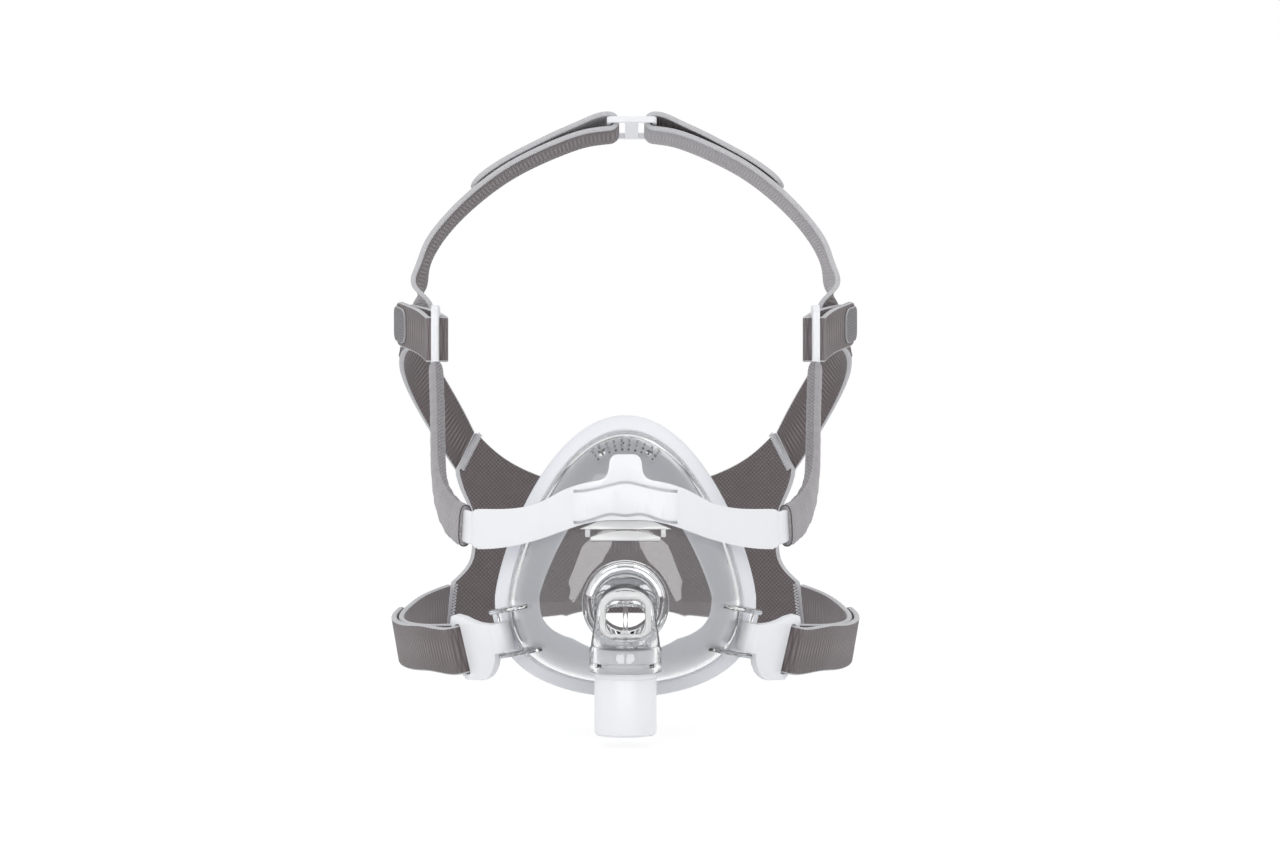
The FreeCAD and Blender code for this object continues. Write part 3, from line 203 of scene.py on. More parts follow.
def tint_by(tree, shader, base, tone):
    """Darkens or lightens a base colour by a tone."""
    grey = add_node(tree, "ShaderNodeCombineColor", None,
                    {"Red": tone, "Green": tone, "Blue": tone})
    tint = add_node(tree, "ShaderNodeMix", {"data_type": "RGBA", "blend_type": "MULTIPLY"},
                    {"Factor": 1.0, "A": base, "B": grey.outputs["Color"]})
    tree.links.new(tint.outputs["Result"], shader.inputs["Base Color"])


def clear_polycarbonate(colours):
    """Injection-moulded polycarbonate: water-clear and polished, with the mould's faint ripple."""
    material, tree, shader = new_material(
        "moulded_clear_polycarbonate", Base_Color=linear(colours.polycarbonate), Roughness=0.03,
        IOR=1.53, Transmission_Weight=1.0)
    mould_grain(tree, shader, 60.0, 1.0, 0.06, 0.0004)
    return material


def milky_polycarbonate_painted_highlight(colours):
    """Polycarbonate with a milky body, a painted highlight in place of reflections on its rim."""
    return new_material("moulded_natural_polycarbonate", Base_Color=linear(colours.polycarbonate),
                        Roughness=0.12, IOR=1.585, Transmission_Weight=0.3, Subsurface_Weight=0.6,
                        Subsurface_Radius=(1.0, 1.0, 1.0), Subsurface_Scale=0.001)[0]


def silicone_rubber(name, hex_colour, bleed):
    """Moulded liquid silicone rubber: milky, with soft highlights and light bleeding through."""
    material, tree, shader = new_material(
        name, Base_Color=linear(hex_colour), Roughness=0.36, IOR=1.41, Subsurface_Weight=bleed,
        Subsurface_Radius=(1.0, 1.0, 1.05), Subsurface_Scale=0.0012)
    mould_grain(tree, shader, 900.0, 2.0, 0.05, 0.0003)
    return material


def white_polypropylene(colours):
    """Injection-moulded polypropylene from a spark-eroded mould: satin, with a very fine grain."""
    material, tree, shader = new_material(
        "moulded_white_polypropylene", Base_Color=linear(colours.white), Roughness=0.38, IOR=1.49,
        Subsurface_Weight=0.08, Subsurface_Radius=(1.0, 1.0, 1.0), Subsurface_Scale=0.0012)
    grain = mould_grain(tree, shader, 2600.0, 3.0, 0.08, 0.0001)
    rough = add_node(tree, "ShaderNodeMapRange", None,
                     {"Value": grain, "To Min": 0.34, "To Max": 0.44})
    tree.links.new(rough.outputs["Result"], shader.inputs["Roughness"])
    return material


def knitted_fabric(name, hex_colour, pitch, depth=0.0004, stitch_shade_strength=0.75, sheen=0.25):
    """Warp-knitted nylon: a lattice of raised stitches with painted shade between, a soft pile."""
    material, tree, shader = new_material(
        name, Base_Color=linear(hex_colour), Roughness=0.86, IOR=1.5, Sheen_Weight=sheen,
        Sheen_Roughness=0.5)
    cloth = add_node(tree, "ShaderNodeUVMap", {"uv_map": "cloth"})
    parts = add_node(tree, "ShaderNodeSeparateXYZ", None, {"Vector": cloth.outputs["UV"]})
    place = add_node(tree, "ShaderNodeTexCoord")
    pile = add_node(tree, "ShaderNodeTexNoise", None,
                    {"Vector": place.outputs["Object"], "Scale": 1400.0, "Detail": 3.0})
    shade = add_node(tree, "ShaderNodeTexNoise", None,
                     {"Vector": place.outputs["Object"], "Scale": 90.0, "Detail": 2.0})
    made = {"length": parts.outputs["X"], "width": parts.outputs["Y"], "pile": pile.outputs["Fac"],
            "shade": shade.outputs["Fac"]}
    # Two crossing sets of waves make the lattice of stitches. The cloth map is in metres, and the
    # stitches are drawn coarser than real ones, which would be lost at the photograph's scale.
    for result, operation, first, second in (
            ("course", "MULTIPLY", "length", 1 / pitch),
            ("wale", "MULTIPLY", "width", 1 / pitch),
            ("sum", "ADD", "course", "wale"),
            ("difference", "SUBTRACT", "course", "wale"),
            ("sum_turn", "MULTIPLY", "sum", math.pi),
            ("difference_turn", "MULTIPLY", "difference", math.pi),
            ("sum_wave", "SINE", "sum_turn", 0.0),
            ("difference_wave", "SINE", "difference_turn", 0.0),
            ("rising", "ABSOLUTE", "sum_wave", 0.0),
            ("falling", "ABSOLUTE", "difference_wave", 0.0),
            ("crossing", "MULTIPLY", "rising", "falling"),
            ("height", "POWER", "crossing", 0.6),
            ("half_pile", "MULTIPLY", "pile", 0.5),
            ("relief", "ADD", "height", "half_pile"),
            # Painted shade and light: the colour darkens in the hollows between stitches and
            # lightens on their tops.
            ("painted_stitch_shading", "MULTIPLY", "height", stitch_shade_strength),
            ("painted_stitch_tone", "ADD", "painted_stitch_shading", 1.0 - stitch_shade_strength * 0.6),
            ("dye_light", "MULTIPLY", "shade", 0.16),
            ("dye_tone", "ADD", "dye_light", 0.92),
            ("tone", "MULTIPLY", "painted_stitch_tone", "dye_tone")):
        node = add_node(tree, "ShaderNodeMath", {"operation": operation},
                        {0: made[first], 1: made.get(second, second)})
        made[result] = node.outputs[0]
    tint_by(tree, shader, linear(hex_colour), made["tone"])
    bump = add_node(tree, "ShaderNodeBump", None,
                    {"Height": made["relief"], "Strength": 0.7, "Distance": depth})
    tree.links.new(bump.outputs["Normal"], shader.inputs["Normal"])
    return material


def cut_foam(colours):
    """Open-cell polyurethane foam, cut: pale, dull, pitted."""
    material, tree, shader = new_material(
        "cut_polyurethane_foam", Base_Color=linear(colours.foam), Roughness=0.95, IOR=1.45)
    place = add_node(tree, "ShaderNodeTexCoord")
    cells = add_node(tree, "ShaderNodeTexVoronoi", None,
                     {"Vector": place.outputs["Object"], "Scale": 2400.0})
    # Painted shade: the colour darkens in the pits of the cells, where the bump sinks.
    tone = add_node(tree, "ShaderNodeMapRange", None,
                    {"Value": cells.outputs["Distance"], "To Min": 0.78, "To Max": 1.06})
    tint_by(tree, shader, linear(colours.foam), tone.outputs["Result"])
    bump = add_node(tree, "ShaderNodeBump", None,
                    {"Height": cells.outputs["Distance"], "Strength": 0.5, "Distance": 0.0002})
    tree.links.new(bump.outputs["Normal"], shader.inputs["Normal"])
    return material


def polyester_thread(colours):
    """Spun polyester thread: twisted, slightly fuzzy, with a dull shine."""
    material, tree, shader = new_material(
        "spun_polyester_thread", Base_Color=linear(colours.thread), Roughness=0.6, IOR=1.55,
        Sheen_Weight=0.3)
    place = add_node(tree, "ShaderNodeTexCoord")
    twist = add_node(tree, "ShaderNodeTexWave",
                     {"wave_type": "BANDS", "bands_direction": "DIAGONAL"},
                     {"Vector": place.outputs["Object"], "Scale": 2200.0})
    bump = add_node(tree, "ShaderNodeBump", None,
                    {"Height": twist.outputs["Fac"], "Strength": 0.4, "Distance": 0.0001})
    tree.links.new(bump.outputs["Normal"], shader.inputs["Normal"])
    return material


def hook_tape(colours):
    """Moulded nylon hook tape: a grid of tiny hooks, drawn coarser than real, on a flat ground."""
    base = linear(colours.hooks)
    material, tree, shader = new_material("moulded_nylon_hook_tape", Base_Color=base, Roughness=0.5,
                                          IOR=1.53)
    place = add_node(tree, "ShaderNodeUVMap", {"uv_map": "cloth"})
    hooks = add_node(tree, "ShaderNodeTexVoronoi", {"voronoi_dimensions": "2D"},
                     {"Vector": place.outputs["UV"], "Scale": 1500.0, "Randomness": 0.25})
    # Painted shade and light: the ground between the hooks is darker and the hook tops lighter.
    tone = add_node(tree, "ShaderNodeMapRange", None,
                    {"Value": hooks.outputs["Distance"], "From Max": 0.55, "To Min": 1.1,
                     "To Max": 0.55})
    tint_by(tree, shader, base, tone.outputs["Result"])
    bump = add_node(tree, "ShaderNodeBump", {"invert": True},
                    {"Height": hooks.outputs["Distance"], "Strength": 0.8, "Distance": 0.0003})
    tree.links.new(bump.outputs["Normal"], shader.inputs["Normal"])
    return material


CLEAR = "moulded_clear_polycarbonate"
# Painted highlight: a milky body in place of the bright reflections of clear plastic.
MILKY = "moulded_natural_polycarbonate"
RUBBER = "moulded_silicone_rubber"
# Painted light: the seal's silicone again, coloured lighter for the membrane in the dome's shade.
THIN_LIGHTENED_RUBBER = "thin_silicone_painted_lighter"
WHITE = "moulded_white_polypropylene"
KNIT = "knitted_nylon_face"
LINING = "knitted_nylon_lining"
RIBBED = "ribbed_nylon_sleeve"
FOAM = "cut_polyurethane_foam"
THREAD = "spun_polyester_thread"
HOOKS = "moulded_nylon_hook_tape"


def finishes():
    """The mask's materials, made once."""
    colours = bpy.context.scene.mask_colours
    pitch = bpy.context.scene.mask_webbing.stitch_pitch
    makers = {
        CLEAR: lambda: clear_polycarbonate(colours),
        RUBBER: lambda: silicone_rubber(RUBBER, colours.silicone, 0.5),
        THIN_LIGHTENED_RUBBER: lambda: silicone_rubber(THIN_LIGHTENED_RUBBER, colours.membrane, 0.1),
        WHITE: lambda: white_polypropylene(colours),
        KNIT: lambda: knitted_fabric(KNIT, colours.knit, pitch),
        LINING: lambda: knitted_fabric(LINING, colours.lining, pitch * 0.8, 0.0002, 0.3),
        RIBBED: lambda: knitted_fabric(RIBBED, colours.sleeve, pitch * 1.2, 0.0005, 0.6),
        FOAM: lambda: cut_foam(colours),
        THREAD: lambda: polyester_thread(colours),
        HOOKS: lambda: hook_tape(colours),
        MILKY: lambda: milky_polycarbonate_painted_highlight(colours),
    }
    return {name: bpy.data.materials.get(name) or make() for name, make in makers.items()}


# Mesh helpers

def mesh_piece(name, points, faces, materials, slots=None, smooth=True, cloth=None):
    """A mesh object from points in millimetres, with an optional cloth map of metres a point."""
    mesh = bpy.data.meshes.new(name)
    mesh.from_pydata([Vector(p) * MM for p in points], [], faces)
    stock = finishes()
    for material in materials:
        mesh.materials.append(stock[material])
    if slots is not None:
        mesh.polygons.foreach_set("material_index", slots)
    if cloth is not None:
        layer = mesh.uv_layers.new(name="cloth")
        layer.data.foreach_set("uv", [c * MM for corner in cloth for c in corner])
    mesh.polygons.foreach_set("use_smooth", [smooth] * len(mesh.polygons))
    mesh.update()
    piece = bpy.data.objects.new(name, mesh)
    bpy.context.scene.collection.objects.link(piece)
    return piece


def apply_modifiers(piece):
    """The piece with its modifiers worked into its mesh."""
    depsgraph = bpy.context.evaluated_depsgraph_get()
    mesh = bpy.data.meshes.new_from_object(piece.evaluated_get(depsgraph))
    piece.modifiers.clear()
    old = piece.data
    piece.data = mesh
    mesh.name = piece.name
    bpy.data.meshes.remove(old)
    return piece


def soften(piece, width, angle=35.0, segments=2):
    """Rounds the piece's sharp edges and shades the rest smoothly."""
    bevel = piece.modifiers.new("edge_radius", "BEVEL")
    bevel.width = width
    bevel.segments = segments
    bevel.limit_method = "ANGLE"
    bevel.angle_limit = math.radians(angle)
    bevel.use_clamp_overlap = True
    apply_modifiers(piece)
    return shade(piece, angle)


def shade(piece, angle=35.0):
    """Smooth shading that breaks at sharp edges."""
    piece.data.shade_smooth()
    piece.data.set_sharp_from_angle(angle=math.radians(angle))
    return piece


def combine(piece, others, operation):
    """The piece joined with, or cut by, others, which are used up."""
    for other in others:
        modifier = piece.modifiers.new("shape", "BOOLEAN")
        modifier.operation = operation
        modifier.object = other
        modifier.solver = "EXACT"
        apply_modifiers(piece)
        mesh = other.data
        bpy.data.objects.remove(other)
        bpy.data.meshes.remove(mesh)
    return piece


WELD_DISTANCE = 0.00001
FLAT_ANGLE = math.radians(0.6)


def solid_copy(name, node, material, edge):
    """A piece of its own on a CAD node's shape, with its edges rounded."""
    source = frame["nodes"][node]
    mesh = source.data.copy()
    mesh.name = name
    mesh.materials.clear()
    mesh.materials.append(finishes()[material])
    piece = bpy.data.objects.new(name, mesh)
    bpy.context.scene.collection.objects.link(piece)
    weld = piece.modifiers.new("weld", "WELD")
    weld.merge_threshold = WELD_DISTANCE
    flatten = piece.modifiers.new("flatten", "DECIMATE")
    flatten.decimate_type = "DISSOLVE"
    flatten.angle_limit = FLAT_ANGLE
    apply_modifiers(piece)
    soften(piece, edge)
    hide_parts(node)
    return piece


def ride_as(piece, node):
    """The piece moves with a CAD node's body."""
    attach(piece, frame["nodes"][node]["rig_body"])
    return piece


def loop_rows(rows, closed=True):
    """Points and faces of a skin over closed loops of equal count."""
    count = len(rows[0])
    points = [p for row in rows for p in row]
    faces = []
    last = len(rows) if closed else len(rows) - 1
    for row in range(last):
        after = (row + 1) % len(rows)
        for index in range(count):
            ahead = (index + 1) % count
            faces.append((row * count + index, row * count + ahead, after * count + ahead,
                          after * count + index))
    return points, faces


def capped(rows):
    """Points and faces of loops skinned into a closed solid."""
    points, faces = loop_rows(rows, closed=False)
    count = len(rows[0])
    faces.append(tuple(reversed(range(count))))
    faces.append(tuple(range(len(points) - count, len(points))))
    return points, faces


def ring(centre, side, other, radius, around):
    """Points of a circle about a centre, in the plane of two directions."""
    return [centre + side * (radius * math.cos(2 * math.pi * i / around))
            + other * (radius * math.sin(2 * math.pi * i / around)) for i in range(around)]


def smooth_through(values, samples, crowding=0.0):
    """Samples of a natural cubic spline through rows of values, crowded to its ends if asked."""
    data = np.array(values, float)
    steps = np.linalg.norm(np.diff(data[:, :3], axis=0), axis=1)
    knots = np.concatenate([[0.0], np.cumsum(steps)])
    count = len(data)
    gaps = np.diff(knots)
    matrix = np.eye(count)
    right = np.zeros_like(data)
    for i in range(1, count - 1):
        matrix[i, i - 1] = gaps[i - 1]
        matrix[i, i] = 2 * (gaps[i - 1] + gaps[i])
        matrix[i, i + 1] = gaps[i]
        right[i] = 6 * ((data[i + 1] - data[i]) / gaps[i] - (data[i] - data[i - 1]) / gaps[i - 1])
    bend = np.linalg.solve(matrix, right)
    even = np.linspace(0, 1, samples)
    shift = crowding * np.sin(2 * np.pi * even) / (2 * np.pi)
    at = knots[0] + (knots[-1] - knots[0]) * (even - shift)
    cell = np.clip(np.searchsorted(knots, at, side="right") - 1, 0, count - 2)
    gap = gaps[cell][:, None]
    low = ((knots[cell + 1] - at) / gaps[cell])[:, None]
    high = 1 - low
    inside = low * data[cell] + high * data[cell + 1]
    curl = (low ** 3 - low) * bend[cell] + (high ** 3 - high) * bend[cell + 1]
    return inside + curl * gap ** 2 / 6


def both_halves(half, samples):
    """A smooth run through one half's points and their mirror images."""
    mirrored = [(-x, z, 0.0) for x, z in reversed(half[1:])] + [(x, z, 0.0) for x, z in half]
    return smooth_through(mirrored, samples)


def strap_track(stations, samples, crowding=0.0):
    """Points, width directions and lengths travelled along stations of (point, width direction)."""
    rows = [tuple(spot) + tuple(across.normalized()) for spot, across in stations]
    track = smooth_through(rows, samples, crowding)
    spots = [Vector(row[:3]) for row in track]
    travelled = [0.0]
    for before, spot in zip(spots, spots[1:]):
        travelled.append(travelled[-1] + (spot - before).length)
    return spots, [Vector(row[3:]) for row in track], travelled


def direction_at(spots, index):
    """Direction of a run of points at one of them."""
    return (spots[min(index + 1, len(spots) - 1)] - spots[max(index - 1, 0)]).normalized()


# Egg-shaped outlines of the seal and the dome

AROUND = 144
# How full an outline's half is: upright power, and how its width starts from the apex.
EGG_TOP = (1.4, 0.53)
EGG_LOW = (2.8, 0.5)
OPENING_TOP = (1.25, 0.6)
OPENING_HALF_WIDTH = 32.7
OPENING_HEIGHTS = (-32.0, 31.0)
RIM_DEPTH = -20.0
RIM_INSET = 6.5
CREST = 3.6
PORT_HEIGHT = -11.4
DOME_FRONT = -50.0
COLLAR_FRONT = -52.0
COLLAR_BACK = -40.0
COLLAR_LAND = 0.4
COLLAR_EDGE = 0.3
DOME_ANGLES = np.linspace(0, 90, 25)
RIM_BEAD = ((5.75, 0.1), (5.55, -0.5), (5.75, -1.1), (6.3, -1.3))


def egg(half_width, top, bottom, depth, top_shape=EGG_TOP):
    """Points of an egg outline."""
    seal = bpy.context.scene.mask_seal
    middle = -seal.widest / MM
    points = []
    for step in range(AROUND):
        angle = 2 * math.pi * step / AROUND
        rise, run = math.sin(angle), math.cos(angle)
        power, root = top_shape if rise >= 0 else EGG_LOW
        reach = top - middle if rise >= 0 else middle - bottom
        height = middle + math.copysign(reach * abs(rise) ** (2 / power), rise)
        taper = 1 + (2 * root - 1) * run ** 2
        points.append(Vector((math.copysign(half_width * abs(run) ** taper, run), depth, height)))
    return points


def seal_egg(inset, depth):
    """The seal's outline, moved inward."""
    seal = bpy.context.scene.mask_seal
    return egg(seal.half_width / MM - inset, seal.top / MM - inset, -seal.bottom / MM + inset,
               depth)


def face_opening(grow, depth):
    """The face opening's outline, moved outward."""
    low, high = OPENING_HEIGHTS
    return egg(OPENING_HALF_WIDTH + grow, high + grow, low - grow, depth, OPENING_TOP)


def port_ring(radius, depth):
    """A circle about the port axis."""
    points = []
    for step in range(AROUND):
        angle = 2 * math.pi * step / AROUND
        height = PORT_HEIGHT + radius * math.sin(angle)
        points.append(Vector((radius * math.cos(angle), depth, height)))
    return points


def dome_row(inset, front, angle):
    """One loop of the dome, from its rim at 0 degrees to its port at 90."""
    shell = bpy.context.scene.mask_shell
    rim = seal_egg(RIM_INSET + inset, 0)
    port = port_ring(shell.collar_radius / MM + COLLAR_LAND - inset, 0)
    turn = math.radians(angle)
    mix = 1 - math.cos(turn)
    depth = RIM_DEPTH + (front - RIM_DEPTH) * math.sin(turn)
    return [Vector((a.x * (1 - mix) + b.x * mix, depth, a.z * (1 - mix) + b.z * mix))
            for a, b in zip(rim, port)]


def prism(name, corners, rise, material):
    """A straight-sided solid on an outline."""
    count = len(corners)
    points = list(corners) + [p + rise for p in corners]
    faces = [tuple(reversed(range(count))), tuple(range(count, 2 * count))]
    for index in range(count):
        ahead = (index + 1) % count
        faces.append((index, ahead, count + ahead, count + index))
    return fix_normals(mesh_piece(name, points, faces, [material]))


def fix_normals(piece):
    """Faces turned outward."""
    work = bmesh.new()
    work.from_mesh(piece.data)
    bmesh.ops.recalc_face_normals(work, faces=work.faces)
    work.to_mesh(piece.data)
    work.free()
    return piece


def rod(name, start, end, radius, material, around=24):
    """A round rod between two points."""
    axis = (end - start).normalized()
    side = axis.orthogonal().normalized()
    rows = [ring(centre, side, axis.cross(side), radius, around) for centre in (start, end)]
    return fix_normals(mesh_piece(name, *capped(rows), [material]))


# Clear shell

POST_MIDDLE = (46.2, -26.0, -23.7)
POST_LEAN = math.radians(13.0)
LUG_GAP = 15.0
LUG_WALL = 1.5
VENT_ROWS = (14.9, 16.45, 18.0)
VENTS_A_ROW = 10
VENT_CENTRE = 28.7
VENT_HALF_SWEEP = 40.0
FIN_OUTLINE = ((-2.4, -3.8), (-2.0, -4.6), (1.0, -7.6), (4.1, -10.2), (7.4, -12.6), (10.6, -14.2),
               (14.0, -14.2), (17.0, -12.6), (14.0, -4.0), (6.8, 6.0), (-1.8, 5.0), (-2.4, 4.4))
POST_RADIUS = 1.5
POST_IN_FIN = 0.7
REST_FRONT = DOME_FRONT - 1.2
REST_RISE = 11.0
# How far behind the front each part of the rest starts, and its outline.
CRESCENT_ARC = [(x, 15.0 - 2.3 * (x / 12.7) ** 2) for x in np.linspace(12.7, -12.7, 21)]
REST_PARTS = (
    (0.0, [(-12.7, 11.4), (12.7, 11.4)] + CRESCENT_ARC),
    (2.2, [(-14.6, 12.6), (-12.8, 12.6), (-12.8, 16.0), (-14.6, 16.0)]),
    (2.2, [(12.8, 12.6), (14.6, 12.6), (14.6, 16.0), (12.8, 16.0)]),
    (0.9, [(-16.6, 15.5), (16.6, 15.5), (13.5, 16.8), (9.6, 18.6), (-9.6, 18.6), (-13.5, 16.8)]),
)


def lug_pieces(side):
    """Two fins and the hook post of a clip lug."""
    axis = Vector((side * math.sin(POST_LEAN), 0, math.cos(POST_LEAN)))
    inward = Vector((-side * axis.z, 0, side * axis.x))
    middle = Vector((side * POST_MIDDLE[0], POST_MIDDLE[1], POST_MIDDLE[2]))
    half = LUG_GAP / 2
    reach = axis * (half + POST_IN_FIN)
    pieces = [rod("post", middle - reach, middle + reach, POST_RADIUS, CLEAR)]
    for level in (half, -half - LUG_WALL):
        base = middle + axis * level
        corners = [base + inward * across + Vector((0, along, 0)) for across, along in FIN_OUTLINE]
        pieces.append(soften(prism("fin", corners, axis * LUG_WALL, CLEAR), 0.00035))
    return pieces


def trimmed(piece, depth, material):
    """The piece without what reaches further than a depth into the dome."""
    rows = [dome_row(depth, DOME_FRONT + depth, angle) for angle in DOME_ANGLES]
    inside = fix_normals(mesh_piece("inside", *capped(rows), [material]))
    return combine(piece, [inside], "DIFFERENCE")


def build_rest():
    """Crescent rib, posts and ledge on the dome, which the frame clips on."""
    wall = bpy.context.scene.mask_shell.wall / MM
    pieces = []
    for near, outline in REST_PARTS:
        corners = [Vector((x, REST_FRONT + near, z)) for x, z in outline]
        part = soften(prism("rest", corners, Vector((0, REST_RISE, 0)), MILKY), 0.0003)
        pieces.append(trimmed(part, wall * 0.6, MILKY))
    piece = joined("frame_rest", pieces)
    shade(piece, 32.0)
    return ride_as(piece, "mask_shell")


def build_shell():
    """Dome with its collar, land, beaded rim, lugs and vents."""
    shell = bpy.context.scene.mask_shell
    wall = shell.wall / MM
    collar = shell.collar_radius / MM
    bore = shell.port_bore / MM
    rows = [dome_row(0, DOME_FRONT, angle) for angle in DOME_ANGLES]
    for radius, depth in (
            (collar, DOME_FRONT), (collar, COLLAR_FRONT + COLLAR_EDGE),
            (collar - COLLAR_EDGE, COLLAR_FRONT), (bore + COLLAR_EDGE, COLLAR_FRONT),
            (bore, COLLAR_FRONT + COLLAR_EDGE), (bore, COLLAR_BACK - COLLAR_EDGE),
            (bore + COLLAR_EDGE, COLLAR_BACK), (collar - COLLAR_EDGE, COLLAR_BACK),
            (collar, COLLAR_BACK - COLLAR_EDGE), (collar, DOME_FRONT + wall + 0.5)):
        rows.append(port_ring(radius, depth))
    rows += [dome_row(wall, DOME_FRONT + wall, angle) for angle in np.linspace(74, 0, 21)]
    rows += [seal_egg(inset, RIM_DEPTH + past) for inset, past in RIM_BEAD]
    points, faces = loop_rows(rows)
    piece = fix_normals(mesh_piece("clear_shell", points, faces, [CLEAR]))
    extras = [trimmed(extra, wall, CLEAR) for extra in lug_pieces(LEFT) + lug_pieces(RIGHT)]
    combine(piece, extras, "UNION")
    drills = []
    for row, radius in enumerate(VENT_ROWS):
        for hole in range(VENTS_A_ROW):
            sweep = math.radians(VENT_HALF_SWEEP * (2 * hole / (VENTS_A_ROW - 1) - 1))
            spot = Vector((radius * math.sin(sweep), COLLAR_FRONT,
                           VENT_CENTRE + radius * math.cos(sweep)))
            through = spot + Vector((0, 40, 0))
            drills.append(rod("vent", spot, through, shell.vent_radius / MM, CLEAR, 12))
    combine(piece, [joined("vents", drills)], "DIFFERENCE")
    shade(piece, 32.0)
    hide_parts("mask_shell")
    return ride_as(piece, "mask_shell")


def joined(name, pieces):
    """Several pieces as one object."""
    points = []
    faces = []
    slots = []
    materials = []
    for piece in pieces:
        start = len(points)
        points += [v.co / MM for v in piece.data.vertices]
        own = [m.name for m in piece.data.materials]
        for material in own:
            if material not in materials:
                materials.append(material)
        for face in piece.data.polygons:
            faces.append([start + i for i in face.vertices])
            slots.append(materials.index(own[face.material_index]))
        mesh = piece.data
        bpy.data.objects.remove(piece)
        bpy.data.meshes.remove(mesh)
    return mesh_piece(name, points, faces, materials, slots)


# Silicone seal

# Loops of the seal's wall, as insets from its outline and distances from its rim or its crest.
WALL_FROM_RIM = ((6.0, 0.0), (4.2, 2.4), (2.8, 5.0), (0.9, 8.6), (0.1, 12.0), (0.05, 15.0))
WALL_FROM_CREST = ((0.6, -5.4), (1.7, -2.8), (3.4, -1.0), (5.6, -0.3), (7.6, -0.2))
LIP_GROW = 3.6
LIP_DEPTH = -3.9
EDGE_DEPTH = -5.2
THICK_ROWS = 10


def between(outer, inner, mix):
    """A loop part of the way from one to another."""
    return [a.lerp(b, mix) for a, b in zip(outer, inner)]


def build_seal():
    """Hollow seal: side wall, rolled crest and the membrane round the face opening."""
    seal = bpy.context.scene.mask_seal
    wall = seal.wall / MM
    skin = seal.membrane / MM
    rim = RIM_DEPTH
    outside = [seal_egg(inset, rim + past) for inset, past in WALL_FROM_RIM]
    outside += [seal_egg(inset, CREST + past) for inset, past in WALL_FROM_CREST]
    edge = face_opening(0.0, CREST + EDGE_DEPTH)
    lip = face_opening(LIP_GROW, CREST + LIP_DEPTH)
    outside += [between(outside[-1], lip, 0.4), between(outside[-1], lip, 0.8)]
    for row, drop in ((-2, 0.35), (-1, 0.15)):
        outside[row] = [p + Vector((0, drop, 0)) for p in outside[row]]
    outside += [lip, edge]
    inside = [face_opening(0.15, CREST + EDGE_DEPTH - skin),
              face_opening(LIP_GROW, CREST + LIP_DEPTH - skin)]
    inner_crest = seal_egg(8.6, CREST - 2.2)
    inside += [between(inside[-1], inner_crest, 0.5), inner_crest]
    inside += [seal_egg(inset, depth) for inset, depth in (
        (5.4, CREST - 3.0), (3.2, CREST - 5.0), (wall + 0.4, CREST - 8.0), (wall, rim + 12.0),
        (2.8 + wall, rim + 5.0), (6.0 + wall, rim + 0.1), (6.0 + wall, rim))]
    points, faces = loop_rows(outside + inside)
    slots = [0 if index < THICK_ROWS * AROUND else 1 for index in range(len(faces))]
    piece = fix_normals(mesh_piece("silicone_seal", points, faces, [RUBBER, THIN_LIGHTENED_RUBBER], slots))
    refine = piece.modifiers.new("refine", "SUBSURF")
    refine.levels = 1
    apply_modifiers(piece)
    shade(piece, 60.0)
    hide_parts("cushion_seal")
    return ride_as(piece, "cushion_seal")


# Elbow

# The elbow's head, drawn in from its solid: shares of width and height kept along its depth.
HEAD_FROM = -14.0
HEAD_EASE = 12.0
HEAD_DEPTHS = (-84.0, -80.0, -76.0, -72.0, -66.0, -62.0)
HEAD_HEIGHTS = (1.0, 0.71, 0.65, 0.72, 0.87, 1.0)
HEAD_WIDTHS = (1.0, 0.95, 0.82, 0.84, 0.92, 1.0)
HEAD_MIDDLE = Vector((0.0, -72.0, -11.4))
HEAD_WALL_FROM = 11.0
# Loops of the window's rim: half width, top, bottom, corner radius and depth.
WINDOW_RIM = (
    (9.0, -6.2, -21.6, 5.2, -83.4),
    (9.0, -6.0, -21.6, 5.2, -84.6),
    (8.5, -6.5, -21.2, 4.9, -85.2),
    (7.7, -7.6, -20.7, 4.2, -85.3),
    (7.1, -8.6, -20.2, 3.6, -84.8),
    (6.95, -8.9, -20.0, 3.4, -83.8),
    (7.2, -8.6, -20.4, 3.6, -83.0),
)
WINDOW_ARCH = 0.9
WINDOW_BOW = 0.035


def build_elbow():
    """Clear elbow, its head drawn in towards the air window."""
    piece = solid_copy("clear_elbow", "elbow", CLEAR, 0.0002)
    for vertex in piece.data.vertices:
        spot = vertex.co / MM
        rise = min(max((spot.z - HEAD_FROM + HEAD_EASE) / HEAD_EASE, 0.0), 1.0)
        away = spot - HEAD_MIDDLE
        away.z = max(away.z, 0.0)
        outside = away.length > HEAD_WALL_FROM
        narrow = float(np.interp(spot.y, HEAD_DEPTHS, HEAD_WIDTHS)) if outside else 1.0
        lower = float(np.interp(spot.y, HEAD_DEPTHS, HEAD_HEIGHTS))
        across = spot.x * (1 - (1 - narrow) * rise ** 2 * (3 - 2 * rise))
        height = HEAD_FROM + (spot.z - HEAD_FROM) * lower if spot.z > HEAD_FROM else spot.z
        vertex.co = Vector((across, spot.y, height)) * MM
    shade(piece, 32.0)
    return ride_as(piece, "elbow")


def build_window_rim():
    """Thick rounded rim of the elbow's air window."""
    points, faces = loop_rows([round_outline(*row) for row in WINDOW_RIM])
    piece = fix_normals(mesh_piece("window_rim", points, faces, [MILKY]))
    shade(piece, 60.0)
    return ride_as(piece, "elbow")


